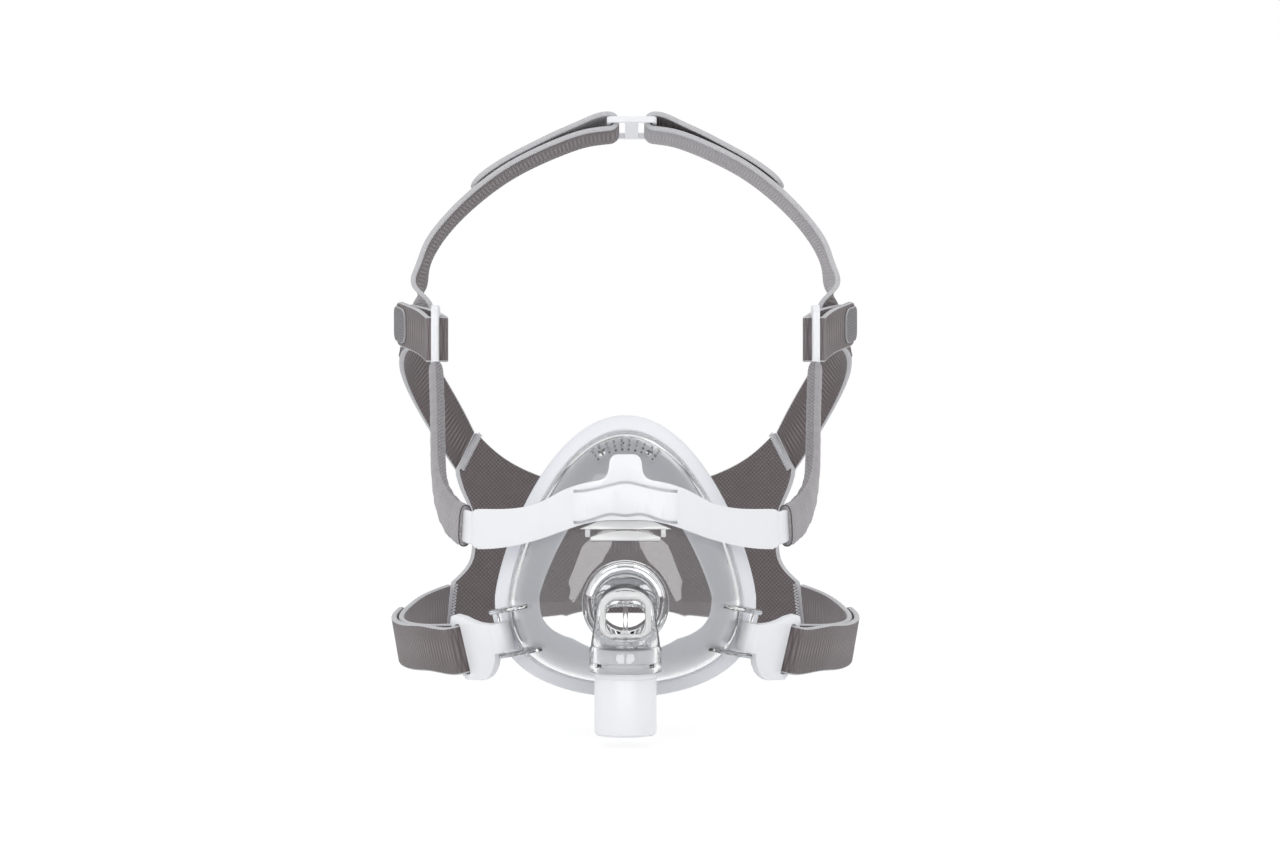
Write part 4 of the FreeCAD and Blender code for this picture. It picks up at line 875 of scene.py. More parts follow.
def round_outline(half_width, top, bottom, radius, depth):
    """Points of a rounded rectangle in front view, arched at its top."""
    points = []
    corners = ((half_width, bottom, radius * 0.8, -90), (half_width, top, radius, 0),
               (-half_width, top, radius, 90), (-half_width, bottom, radius * 0.8, 180))
    for x, z, bend, start in corners:
        middle = (x - math.copysign(bend, x), z + bend if z == bottom else z - bend)
        for step in range(13):
            angle = math.radians(start + 90 * step / 12)
            across = middle[0] + bend * math.cos(angle)
            arch = WINDOW_ARCH * (1 - (across / half_width) ** 2) if z == top else 0.0
            points.append(Vector((across, depth + WINDOW_BOW * across ** 2,
                                  middle[1] + bend * math.sin(angle) + arch)))
    return points


# Thread

# A direction that no thread runs along.
SLANT = Vector((0.31, 0.83, 0.46))
# A swing beyond 1 is cut off, which flattens the zigzag's turns.
ZIGZAG_FLAT = 1.35
SEAM_PROUD = 1.95


def thread_piece(name, path, radius, material=THREAD, around=6):
    """A round thread along a run of points."""
    rows = []
    for index, spot in enumerate(path):
        ahead = direction_at(path, index)
        side = ahead.cross(SLANT).normalized()
        rows.append(ring(spot, side, ahead.cross(side), radius, around))
    return fix_normals(mesh_piece(name, *capped(rows), [material]))


def seam_band(name, start, end, across, half_width, pitch, radius=0.22):
    """A dense zigzag of thread over a seam."""
    turns = int((end - start).length / pitch)
    path = []
    for step in range(turns * 8 + 1):
        swing = min(max(ZIGZAG_FLAT * math.cos(math.pi * step / 4), -1), 1)
        path.append(start.lerp(end, step / turns / 8) + across * (half_width * swing))
    return thread_piece(name, path, radius)


def build_seams(word, side):
    """Zigzag seams that join the straps to the back panel."""
    for kind, top, low, pitch, half_width in (
            ("upper", PANEL_TOP[-1], PANEL_SIDE[0], 0.9, 1.2),
            ("lower", PANEL_SIDE[-1], PANEL_LOW[-1], 1.3, 0.8)):
        ends = []
        for x, z in (top, low):
            depth, slope = plan_depth(x)
            normal = Vector((-slope, 1, 0)).normalized()
            tangent = Vector((1, slope, 0)).normalized()
            spot = Vector((x, depth, z)) - normal * SEAM_PROUD - tangent * (half_width + 0.2)
            ends.append(Vector((side * spot.x, spot.y, spot.z)))
        along = (ends[1] - ends[0]).normalized()
        outward = Vector((side * tangent.x, tangent.y, 0))
        across = (outward - along * outward.dot(along)).normalized()
        start, end = ends[0] + along * 0.3, ends[1] - along * 0.3
        band = seam_band(f"{kind}_seam_{word}", start, end, across, half_width, pitch)
        ride_as(band, "back_panel")


# Webbing

def section_row(spot, ahead, across, half_width, half_thickness, corner):
    """Points round a strap's rounded section, outer face first, with their place across it."""
    normal = ahead.cross(across).normalized()
    across = across.normalized()
    flat = half_width - corner
    wide, thick = half_width - corner * 0.3, half_thickness - corner * 0.3
    low = half_thickness - corner
    outline = [(flat * share, half_thickness) for share in (-1.0, -0.5, 0.0, 0.5, 1.0)]
    outline += [(wide, thick), (half_width, low), (half_width, -low), (wide, -thick)]
    outline += [(flat * share, -half_thickness) for share in (1.0, 0.5, 0.0, -0.5, -1.0)]
    outline += [(-wide, -thick), (-half_width, -low), (-half_width, low), (-wide, thick)]
    return [spot + across * a + normal * n for a, n in outline], [a for a, n in outline]


# Materials round a strap's section: outer face, cut edge, inner face, cut edge.
LAYERS = [0] * 4 + [2] * 5 + [1] * 4 + [2] * 5


def strap_piece(name, stations, samples, outer, inner, rounding, width=None, thickness=None):
    """A strap of three layers along stations of (point, width direction), with rounded corners."""
    webbing = bpy.context.scene.mask_webbing
    width = width or webbing.width / MM
    thickness = thickness or webbing.thickness / MM
    spots, widths, travelled = strap_track(stations, samples, 0.6)
    loops = []
    corner = min(0.55, thickness * 0.3)
    for index, spot in enumerate(spots):
        half = width / 2
        for radius, gone in zip(rounding, (travelled[index], travelled[-1] - travelled[index])):
            if gone < radius:
                half = min(half, width / 2 - radius + math.sqrt(radius ** 2 - (radius - gone) ** 2))
        row, offsets = section_row(spot, direction_at(spots, index), widths[index],
                                   max(half, corner), thickness / 2, corner)
        loops.append(row)
    points, faces = loop_rows(loops, closed=False)
    count = len(loops[0])
    cloth = []
    slots = []
    for index in range(len(faces)):
        row, place = divmod(index, count)
        slots.append(LAYERS[place])
        shift = 0.0 if LAYERS[place] != 2 else thickness
        near, far = offsets[place] + shift, offsets[(place + 1) % count] + shift
        cloth += [(travelled[row], near), (travelled[row], far), (travelled[row + 1], far),
                  (travelled[row + 1], offsets[place])]
    start = (len(loops) - 1) * count
    for cap in (tuple(reversed(range(count))), tuple(range(start, start + count))):
        faces.append(cap)
        slots.append(2)
        cloth += [(0.0, 0.0)] * count
    piece = mesh_piece(name, points, faces, [outer, inner, FOAM], slots, cloth=cloth)
    shade(piece, 50.0)
    return piece


def stations_of(rows, side):
    """Stations from rows of left-side numbers, for either side."""
    return [(Vector((-side * x, y, z)), Vector((-side * a, b, c))) for x, y, z, a, b, c in rows]


def fold(centre, start, bulge, radius, across):
    """Stations round a bar."""
    half_turn = ring(centre, start, bulge, radius, 16)[:9]
    return [(spot, Vector(across)) for spot in half_turn]


FOLD_RADIUS = 3.5
LOOP_BAR_SPOT = (77.0, 81.0, 88.6)
UPPER_RUN = (
    (-69.6, 149.6, 42.8, 0.45, 0.0, 0.89),
    (-76.6, 146.2, 55.0, 0.58, 0.12, 0.79),
    (-84.4, 139.6, 69.0, 0.6, 0.3, 0.74),
    (-90.6, 129.6, 82.0, 0.42, 0.42, 0.8),
    (-92.6, 118.4, 90.6, 0.16, 0.26, 0.95),
    (-90.2, 106.4, 94.6, 0.02, 0.04, 1.0),
    (-84.6, 95.2, 93.6, 0.0, -0.1, 0.99),
    (-77.0, 87.4, 91.0, 0.0, -0.1, 0.99),
)
UPPER_FOLD = (
    (-83.4, 87.6, 91.0, 0.0, -0.1, 0.99),
    (-88.0, 95.6, 93.6, 0.0, -0.1, 0.99),
    (-93.2, 105.4, 95.8, 0.0, -0.06, 1.0),
    (-95.8, 113.0, 97.2, 0.0, -0.04, 1.0),
)
LOWER_RUN = (
    (-77.0, 140.6, -23.8, 0.1, 0.0, 0.99),
    (-83.4, 124.0, -26.2, -0.02, 0.0, 1.0),
    (-88.0, 100.0, -29.2, -0.08, 0.0, 1.0),
    (-89.3, 75.0, -31.6, -0.15, 0.0, 0.98),
    (-86.4, 50.0, -33.0, -0.18, 0.0, 0.98),
    (-79.8, 31.0, -33.0, -0.2, 0.0, 0.97),
    (-71.4, 17.4, -32.4, -0.21, 0.0, 0.97),
)
LOWER_FOLD = (
    (-75.4, 15.0, -32.4, -0.21, 0.0, 0.97),
    (-82.6, 29.0, -33.0, -0.2, 0.0, 0.97),
    (-89.2, 49.0, -33.0, -0.18, 0.0, 0.98),
    (-92.2, 75.0, -31.6, -0.15, 0.0, 0.98),
    (-91.0, 97.0, -29.6, -0.08, 0.0, 1.0),
)
CROWN_FOOT = (
    (-84.1, 102.0, 97.4, 0.43, -0.9, 0.0),
    (-84.6, 102.0, 104.4, 0.4, -0.92, 0.0),
)
CROWN_RUN = (
    (-85.9, 103.0, 111.0), (-84.8, 104.6, 119.0), (-81.6, 107.0, 128.0), (-75.8, 110.0, 137.0),
    (-67.6, 113.0, 146.2), (-59.0, 115.5, 154.0), (-49.5, 118.0, 161.0), (-38.5, 120.5, 167.2),
    (-28.0, 122.3, 172.0), (-18.0, 123.6, 175.4),
)
CROWN_AXIS_HEIGHT = 100.0
CROWN_FOLD_FROM = 5
CROWN_LAYER_STEP = 2.9
SIDE_TILT = 8.0
BUCKLE_TILT = 13.0
BUCKLE = (2.6, 124.0, 179.7)
BUCKLE_BAR = 9.55
CLIP_REACH = 35.7
CLIP_DROP = 4.4
CLIP_SWING = 60.0
TAB_FROM_END = (1.2, 16.7)
TAB_LIFT = 1.65
TAB_CORNER = 3.2
TAB_WIDTH = 14.4
TAB_THICKNESS = 0.8


def upper_path(side):
    """Strap from the back panel to the arm's loop, folded back on itself."""
    centre = Vector((side * LOOP_BAR_SPOT[0], LOOP_BAR_SPOT[1], LOOP_BAR_SPOT[2]))
    turn = fold(centre, Vector((-side, 0, 0)), Vector((0, -1, 0)), FOLD_RADIUS, UP)
    return stations_of(UPPER_RUN, side) + turn + stations_of(UPPER_FOLD, side)


def lower_path(side):
    """Strap from the back panel through the clip's loop, folded back on itself."""
    swing = math.radians(90 - side * (90 - CLIP_SWING))
    lean = Matrix.Rotation(side * POST_LEAN, 3, "Y")
    ahead = lean @ Vector((math.cos(swing), math.sin(swing), 0))
    axis = lean @ UP
    middle = Vector((side * POST_MIDDLE[0], POST_MIDDLE[1], POST_MIDDLE[2]))
    centre = middle + ahead * CLIP_REACH - axis * CLIP_DROP
    turn = fold(centre, ahead.cross(axis) * -side, ahead * -1, FOLD_RADIUS, axis)
    return stations_of(LOWER_RUN, side) + turn + stations_of(LOWER_FOLD, side)


def crown_across(spot):
    """Width direction of the crown strap, which lies on a cone that opens to the front."""
    out = Vector((spot.x, 0, spot.z - CROWN_AXIS_HEIGHT)).normalized()
    tilt = math.radians(SIDE_TILT + (BUCKLE_TILT - SIDE_TILT) * max(out.z, 0))
    return out * math.sin(tilt) + Vector((0, -math.cos(tilt), 0))


def crown_path(side):
    """Strap from the side of the head to the crown buckle, folded back on itself."""
    spots = [Vector((-side * x + BUCKLE[0] * (1 - abs(x) / 85.9), y, z)) for x, y, z in CROWN_RUN]
    tilt = math.radians(BUCKLE_TILT)
    up = Vector((0, math.sin(tilt), math.cos(tilt)))
    bar = Vector((BUCKLE[0] + side * BUCKLE_BAR, BUCKLE[1], BUCKLE[2]))
    across = Vector((0, -math.cos(tilt), math.sin(tilt)))
    lower = stations_of(CROWN_FOOT, side) + [(spot, crown_across(spot)) for spot in spots]
    turn = fold(bar, up * -1, Vector((-side, 0, 0)), 3.2, across)
    last = len(spots) - 1
    lifts = {last: CROWN_LAYER_STEP + 1.8, last - 1: CROWN_LAYER_STEP + 0.6}
    upper = []
    for index in range(last, CROWN_FOLD_FROM - 1, -1):
        ahead = spots[index - 1] - spots[min(index + 1, last)]
        normal = ahead.cross(crown_across(spots[index])).normalized()
        normal = normal if normal.z > 0 else normal * -1
        lift = lifts.get(index, CROWN_LAYER_STEP)
        upper.append((spots[index] + normal * lift, crown_across(spots[index])))
    end, across_end = upper[-1]
    beyond = (spots[CROWN_FOLD_FROM - 1] - spots[CROWN_FOLD_FROM]) * 0.45
    return lower + turn + upper + [(end + beyond, across_end)]


def build_strap(kind, word, path, samples, inner):
    """One strap on one side."""
    piece = strap_piece(f"{kind}_webbing_{word}", path, samples, KNIT, inner, (0.0, 8.0))
    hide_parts(f"{kind}_strap_{word}")
    return piece


def tab_piece(name, path, outward):
    """A hook tab on the outside of a strap's folded end."""
    spots, widths, travelled = strap_track(path, 400)
    chosen = []
    for index in range(4, len(spots), 4):
        if TAB_FROM_END[0] <= travelled[-1] - travelled[index] <= TAB_FROM_END[1]:
            ahead = (spots[index] - spots[index - 1]).normalized()
            normal = ahead.cross(widths[index]).normalized()
            normal = normal if normal.dot(outward) > 0 else normal * -1
            chosen.append((spots[index] + normal * TAB_LIFT, widths[index]))
    return strap_piece(name, chosen, 40, HOOKS, HOOKS, (TAB_CORNER, TAB_CORNER), TAB_WIDTH,
                       TAB_THICKNESS)


def bar_tack(word, side, path):
    """Dense bar of stitches near an upper strap's edge."""
    spot, across = path[4]
    ahead = (path[5][0] - path[3][0]).normalized()
    normal = ahead.cross(across).normalized()
    normal = normal if normal.x * side > 0 else normal * -1
    foot = spot + normal * 1.35 - across * 8.6
    return seam_band(f"bar_tack_{word}", foot, foot + across * 4.4, ahead, 0.9, 0.7)


# Back panel

PANEL_TOP = ((0, 23.2), (18, 25.6), (36.6, 31.4), (47.9, 36.4), (56.5, 42.2), (64.9, 50.4))
PANEL_SIDE = ((72.9, 34.4), (70.6, 26.0), (67.0, 17.0), (66.0, 6.0), (67.2, -5.0), (74.8, -14.0))
PANEL_LOW = ((0, -28.6), (18, -29.0), (35.3, -30.6), (56, -32.6), (76.8, -33.2))
PANEL_PLAN = ((0, 167.0), (22, 165.4), (42, 160.8), (58, 154.4), (69, 147.6), (80, 137.6))


PLAN_ACROSS, PLAN_DEPTHS = both_halves(PANEL_PLAN, 600)[:, :2].T


def plan_depth(across):
    """Depth of the panel's middle at a distance from the midplane, and its slope."""
    before, depth, after = np.interp((across - 0.2, across, across + 0.2), PLAN_ACROSS, PLAN_DEPTHS)
    return float(depth), float((after - before) / 0.4)


def build_panel():
    """Four-armed back panel: knit on both faces of a thin foam, with cut edges."""
    webbing = bpy.context.scene.mask_webbing
    wide, tall = 96, 36
    top = both_halves(PANEL_TOP, wide + 1)[:, :2]
    low = both_halves(PANEL_LOW, wide + 1)[:, :2]
    side = smooth_through([(x, z, 0) for x, z in PANEL_SIDE], 25)[:, :2]
    edge = np.vstack([[PANEL_TOP[-1]], side, [PANEL_LOW[-1]]])
    steps = np.concatenate([[0], np.cumsum(np.linalg.norm(np.diff(edge, axis=0), axis=1))])
    at = np.linspace(0, steps[-1], tall + 1)
    right = np.stack([np.interp(at, steps, edge[:, 0]), np.interp(at, steps, edge[:, 1])], axis=1)
    left = right * [-1, 1]
    grid = np.zeros((tall + 1, wide + 1, 2))
    for row in range(tall + 1):
        v = row / tall
        for column in range(wide + 1):
            u = column / wide
            flat = ((1 - v) * top[column] + v * low[column] + (1 - u) * left[row] + u * right[row])
            corners = ((1 - u) * (1 - v) * top[0] + u * (1 - v) * top[-1] + (1 - u) * v * low[0]
                       + u * v * low[-1])
            grid[row, column] = flat - corners
    half = webbing.panel_thickness / MM / 2
    points = []
    layers = []
    for offset, shrink in ((half, 0.35), (half * 0.55, 0.0), (-half * 0.55, 0.0), (-half, 0.35)):
        layer = []
        for row in range(tall + 1):
            for column in range(wide + 1):
                x, z = grid[row, column]
                depth, slope = plan_depth(x)
                normal = Vector((-slope, 1, 0)).normalized()
                pull = Vector((0, 0, 0))
                on_edge = row in (0, tall) or column in (0, wide)
                if on_edge and shrink:
                    near = grid[min(max(row, 1), tall - 1), min(max(column, 1), wide - 1)]
                    toward = Vector((near[0] - x, 0, near[1] - z))
                    pull = toward.normalized() * shrink if toward.length else pull
                layer.append(len(points))
                points.append(Vector((x, depth, z)) + normal * offset + pull)
        layers.append(layer)
    faces, slots, cloth = [], [], []

    def quad(corners, slot):
        faces.append(corners)
        slots.append(slot)
        for corner in corners:
            p = points[corner]
            cloth.append((p.x * 1.06, p.z))

    line = wide + 1
    for layer, flip, slot in ((layers[0], False, 0), (layers[3], True, 0)):
        for row in range(tall):
            for column in range(wide):
                a, b = row * line + column, row * line + column + 1
                c, d = b + line, a + line
                corners = [layer[i] for i in (a, b, c, d)]
                quad(tuple(reversed(corners)) if flip else tuple(corners), slot)
    border = ([(0, c) for c in range(wide)] + [(r, wide) for r in range(tall)]
              + [(tall, c) for c in range(wide, 0, -1)] + [(r, 0) for r in range(tall, 0, -1)])
    for upper, lower in zip(layers, layers[1:]):
        for index, (row, column) in enumerate(border):
            after_row, after_column = border[(index + 1) % len(border)]
            a = row * line + column
            b = after_row * line + after_column
            quad((upper[a], lower[a], lower[b], upper[b]), 1)
    piece = mesh_piece("headgear_back_panel", points, faces, [KNIT, FOAM], slots, cloth=cloth)
    fix_normals(piece)
    shade(piece, 50.0)
    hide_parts("back_panel")
    return ride_as(piece, "back_panel")


# Frame

BAR_TOP = ((0, 32.0), (4.0, 31.3), (9, 30.1), (18.8, 28.7))
BAR_LOW = ((0, 21.0), (4.5, 21.6), (12, 19.6), (18.8, 18.6))
FRONT_PLAN = ((0, -51.0), (8, -50.77), (12, -50.4), (16, -49.8), (19.0, -48.9), (22, -47.6))
FRAME_END = ((-4.0, -7.5), (2.2, -7.3), (3.6, -6.4), (4.3, -4.6), (4.6, 0.0), (4.3, 4.6),
             (3.6, 6.4), (2.2, 7.2), (-4.0, 7.45))
FRAME_END_MIDDLE = (55.7, -11.8, 14.4)
# The frame's end runs back and outward in plan.
FRAME_END_RUN = (0.625, 0.78)
FRAME_END_SUNK = 2.5
FRAME_END_HEIGHT = 2.55


def slit_rows(edge, sign, near, far, front, back):
    """Loops of a bent bar along a slit, for every share of the way across."""
    rows = []
    for x, z, _ in both_halves(edge, 49):
        depth = float(np.interp(abs(x), *zip(*FRONT_PLAN)))
        flare = min(abs(x) / 12.0, 1.0)
        low, high = z - sign * near * flare, z + sign * far
        rows.append([Vector((x, depth + y, level)) for y, level in
                     ((front, low), (front, high), (back, high), (back, low))])
    return rows


def build_yoke():
    """White frame, with a white floor behind the slits beside its raised bar."""
    floors = []
    for edge, sign in ((BAR_TOP, 1), (BAR_LOW, -1)):
        floor = mesh_piece("floor", *capped(slit_rows(edge, sign, 0.3, 1.6, 1.5, 2.3)), [WHITE])
        floors.append(fix_normals(floor))
    ride_as(shade(joined("slit_floors", floors), 30.0), "yoke_frame")
    yoke = solid_copy("frame_yoke", "yoke_frame", WHITE, 0.0006)
    return ride_as(yoke, "yoke_frame")


def build_frame_end(word, side):
    """Rounded end of the frame, over the root of the arm."""
    across, back = FRAME_END_RUN
    run = Vector((side * across, back, 0))
    out = Vector((side * back, -across, 0))
    middle = Vector((side * FRAME_END_MIDDLE[0], FRAME_END_MIDDLE[1], FRAME_END_MIDDLE[2]))
    corners = [middle + run * along + UP * up - out * FRAME_END_SUNK for along, up in FRAME_END]
    piece = prism(f"frame_end_{word}", corners, out * FRAME_END_HEIGHT, WHITE)
    soften(piece, 0.0009, 30.0, 4)
    return ride_as(piece, "yoke_frame")


# Arms' sleeves

ARM = (
    (-56.9, -8.6, 14.3, 0.0, 0.0, 1.0),
    (-60.9, -3.8, 15.4, 0.06, -0.06, 1.0),
    (-65.7, 2.8, 18.4, 0.1, -0.3, 0.95),
    (-69.6, 10.0, 24.2, 0.06, -0.55, 0.84),
    (-72.0, 19.6, 32.2, 0.0, -0.62, 0.78),
    (-73.2, 30.8, 41.8, 0.0, -0.64, 0.77),
    (-74.2, 43.4, 53.0, 0.0, -0.66, 0.75),
    (-75.3, 56.0, 64.6, 0.0, -0.68, 0.73),
    (-76.3, 66.0, 74.2, 0.0, -0.7, 0.71),
    (-77.0, 73.0, 81.5, 0.0, -0.72, 0.69),
)
SLEEVE_FROM = 5.6
SLEEVE_TO_END = 11.0
SLEEVE_BORE = (6.1 + 0.3, 1.1 + 0.3)
SLEEVE_AROUND = 28
SLEEVE_PERIMETER = 2 * math.pi * 5.0


def build_sleeve(word, side):
    """Knitted tube over an arm, slightly wavy, with a thin dark ring of knit round its front end.
    """
    wall = bpy.context.scene.mask_webbing.sleeve_wall / MM
    spots, widths, steps = strap_track(stations_of(ARM, side), 240)
    end = steps[-1] - SLEEVE_TO_END
    keep = [i for i in range(len(spots)) if SLEEVE_FROM <= steps[i] <= end][::2]
    half_width, half_thick = SLEEVE_BORE
    around = SLEEVE_AROUND
    loops = {"outer": [], "inner": []}
    faces_out = []
    for index in keep:
        across = widths[index].normalized()
        normal = direction_at(spots, index).cross(across).normalized()
        faces_out.append(normal.x * side > 0)
        wave = 0.12 * math.sin(steps[index] * 0.9) + 0.08 * math.sin(steps[index] * 2.3 + 1)
        for kind, grow in (("outer", wall + wave), ("inner", 0.0)):
            row = []
            for step in range(around):
                angle = 2 * math.pi * step / around
                cosine, sine = math.cos(angle), math.sin(angle)
                a = math.copysign(abs(cosine) ** 0.55, cosine) * (half_width + grow)
                n = math.copysign(abs(sine) ** 0.75, sine) * (half_thick + grow)
                row.append(spots[index] + across * a + normal * n)
            loops[kind].append(row)
    rows = loops["outer"] + list(reversed(loops["inner"]))
    points, faces = loop_rows(rows)
    cloth = []
    slots = []
    travelled = [steps[i] for i in keep] + [steps[i] for i in reversed(keep)]
    for index in range(len(faces)):
        row, place = divmod(index, around)
        after = travelled[(row + 1) % len(rows)]
        near, far = (SLEEVE_PERIMETER * step / around for step in (place, place + 1))
        on_top = place < around / 2
        slots.append(0 if on_top == faces_out[min(row, len(keep) - 1)] else 1)
        cloth += [(travelled[row], near), (travelled[row], far), (after, far), (after, near)]
    piece = mesh_piece(f"knitted_sleeve_{word}", points, faces, [LINING, RIBBED], slots,
                       cloth=cloth)
    fix_normals(piece)
    shade(piece, 60.0)
    first = loops["outer"][0]
    dark_ring = thread_piece(f"sleeve_dark_ring_{word}", first + first[:2], 0.25, KNIT, 8)
    ride_as(dark_ring, f"arm_sleeve_{word}")
    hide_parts(f"arm_sleeve_{word}")
    return ride_as(piece, f"arm_sleeve_{word}")


# Operators

class MaskPiece:
    """What every piece's operator shares."""
    bl_options = {"REGISTER", "UNDO"}


class MASK_OT_shell(MaskPiece, bpy.types.Operator):
    """Clear dome with its port collar, vents, lugs and frame rest"""
    bl_idname = "mask.shell"
    bl_label = "Clear Shell"

    def execute(self, context):
        build_shell()
        build_rest()
        return {"FINISHED"}


class MASK_OT_seal(MaskPiece, bpy.types.Operator):
    """Silicone face seal"""
    bl_idname = "mask.seal"
    bl_label = "Face Seal"

    def execute(self, context):
        build_seal()
        return {"FINISHED"}


class MASK_OT_elbow(MaskPiece, bpy.types.Operator):
    """Clear elbow, snap ring, valve seat and flap"""
    bl_idname = "mask.elbow"
    bl_label = "Elbow and Valve"

    def execute(self, context):
        build_elbow()
        for name, node, edge in (("snap_ring", "elbow_retainer", 0.00015),
                                 ("window_insert", "valve_seat", 0.0001)):
            ride_as(solid_copy(name, node, CLEAR, edge), node)
        build_window_rim()
        flap = solid_copy("silicone_flap", "valve_flap", RUBBER, 0.0001)
        ride_as(flap, "valve_flap")
        return {"FINISHED"}


class MASK_OT_cuff(MaskPiece, bpy.types.Operator):
    """White hose cuff"""
    bl_idname = "mask.cuff"
    bl_label = "Hose Cuff"

    def execute(self, context):
        cuff = solid_copy("hose_cuff", "swivel_cuff", WHITE, 0.0002)
        ride_as(cuff, "swivel_cuff")
        return {"FINISHED"}


class MASK_OT_frame(MaskPiece, bpy.types.Operator):
    """White frame, arms, clips and crown buckle"""
    bl_idname = "mask.frame"
    bl_label = "Frame, Arms, Clips and Buckle"

    def execute(self, context):
        build_yoke()
        plate = solid_copy("crown_buckle_plate", "crown_buckle", WHITE, 0.0004)
        ride_as(plate, "crown_buckle")
        for word, side in SIDES.items():
            build_frame_end(word, side)
            for name, node, edge in ((f"temple_arm_{word}", f"arm_{word}", 0.0004),
                                     (f"hook_clip_{word}", f"lower_clip_{word}", 0.0005)):
                ride_as(solid_copy(name, node, WHITE, edge), node)
        return {"FINISHED"}


class MASK_OT_sleeves(MaskPiece, bpy.types.Operator):
    """Knitted sleeves over the arms"""
    bl_idname = "mask.sleeves"
    bl_label = "Arm Sleeves"

    def execute(self, context):
        for word, side in SIDES.items():
            build_sleeve(word, side)
        return {"FINISHED"}


class MASK_OT_panel(MaskPiece, bpy.types.Operator):
    """Back panel of the headgear"""
    bl_idname = "mask.panel"
    bl_label = "Back Panel"

    def execute(self, context):
        build_panel()
        for word, side in SIDES.items():
            build_seams(word, side)
        return {"FINISHED"}


class MASK_OT_straps(MaskPiece, bpy.types.Operator):
    """Upper, lower and crown straps with their hook tabs"""
    bl_idname = "mask.straps"
    bl_label = "Straps and Hook Tabs"

    def execute(self, context):
        for word, side in SIDES.items():
            for kind, path, samples, inner in (("upper", upper_path(side), 220, KNIT),
                                               ("crown", crown_path(side), 300, LINING)):
                piece = build_strap(kind, word, path, samples, inner)
                ride_as(piece, f"{kind}_strap_{word}")
            piece = build_strap("lower", word, lower_path(side), 320, KNIT)
            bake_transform(piece)
            for kind, path in (("upper", upper_path(side)), ("lower", lower_path(side))):
                tab = tab_piece(f"{kind}_hook_patch_{word}", path, Vector((side, 0, 0)))
                if kind == "upper":
                    ride_as(bar_tack(word, side, path), f"upper_strap_{word}")
                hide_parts(f"{kind}_hook_tab_{word}")
                ride_as(tab, f"{kind}_hook_tab_{word}")
        return {"FINISHED"}


class MASK_OT_studio(MaskPiece, bpy.types.Operator):
    """Floor, room, lights and camera"""
    bl_idname = "mask.studio"
    bl_label = "Studio"

    def execute(self, context):
        build_studio(context.scene)
        return {"FINISHED"}


# Studio

FOCAL_PIXELS = 2818.0
FRAME_WIDTH = 1280
FRAME_HEIGHT = 868
MIDLINE_PIXEL = 625.5
SOFTBOX = ((0.05, 0.0), (0.10, -0.035), (0.25, -0.06), (0.41, -0.025), (0.41, 0.03), (0.56, 0.12),
           (0.50, 0.20), (0.50, 0.34), (0.09, 0.34), (0.075, 0.18), (0.064, 0.09))
# Lamps: name, place, what they point at, and power.
LAMPS = (("key_softbox", (-0.7, -0.7, 1.0), (0, 0.02, 0.05), 1.3),
         ("back_softbox", (0.5, 0.9, 0.9), (0, 0.05, 0.05), 0.8))
LAMP_SIZE = 0.6


def seen_directly(tree, mirrored):
    """1 where the camera sees a surface straight or through clear plastic, less where mirrored."""
    path = add_node(tree, "ShaderNodeLightPath")
    clear = add_node(tree, "ShaderNodeMath", {"operation": "MAXIMUM"},
                     {0: path.outputs["Is Camera Ray"], 1: path.outputs["Is Transmission Ray"]})
    glossy = add_node(tree, "ShaderNodeMath", {"operation": "MULTIPLY"},
                      {0: path.outputs["Is Glossy Ray"], 1: mirrored})
    return add_node(tree, "ShaderNodeMath", {"operation": "MAXIMUM"},
                    {0: clear.outputs[0], 1: glossy.outputs[0]}).outputs[0]


def stage_sheet(name, material, corners):
    """A flat sheet of the studio."""
    mesh = bpy.data.meshes.new(name)
    mesh.from_pydata(corners, [], [tuple(range(len(corners)))])
    mesh.materials.append(material)
    sheet = bpy.data.objects.new(name, mesh)
    bpy.context.scene.collection.objects.link(sheet)
    return sheet


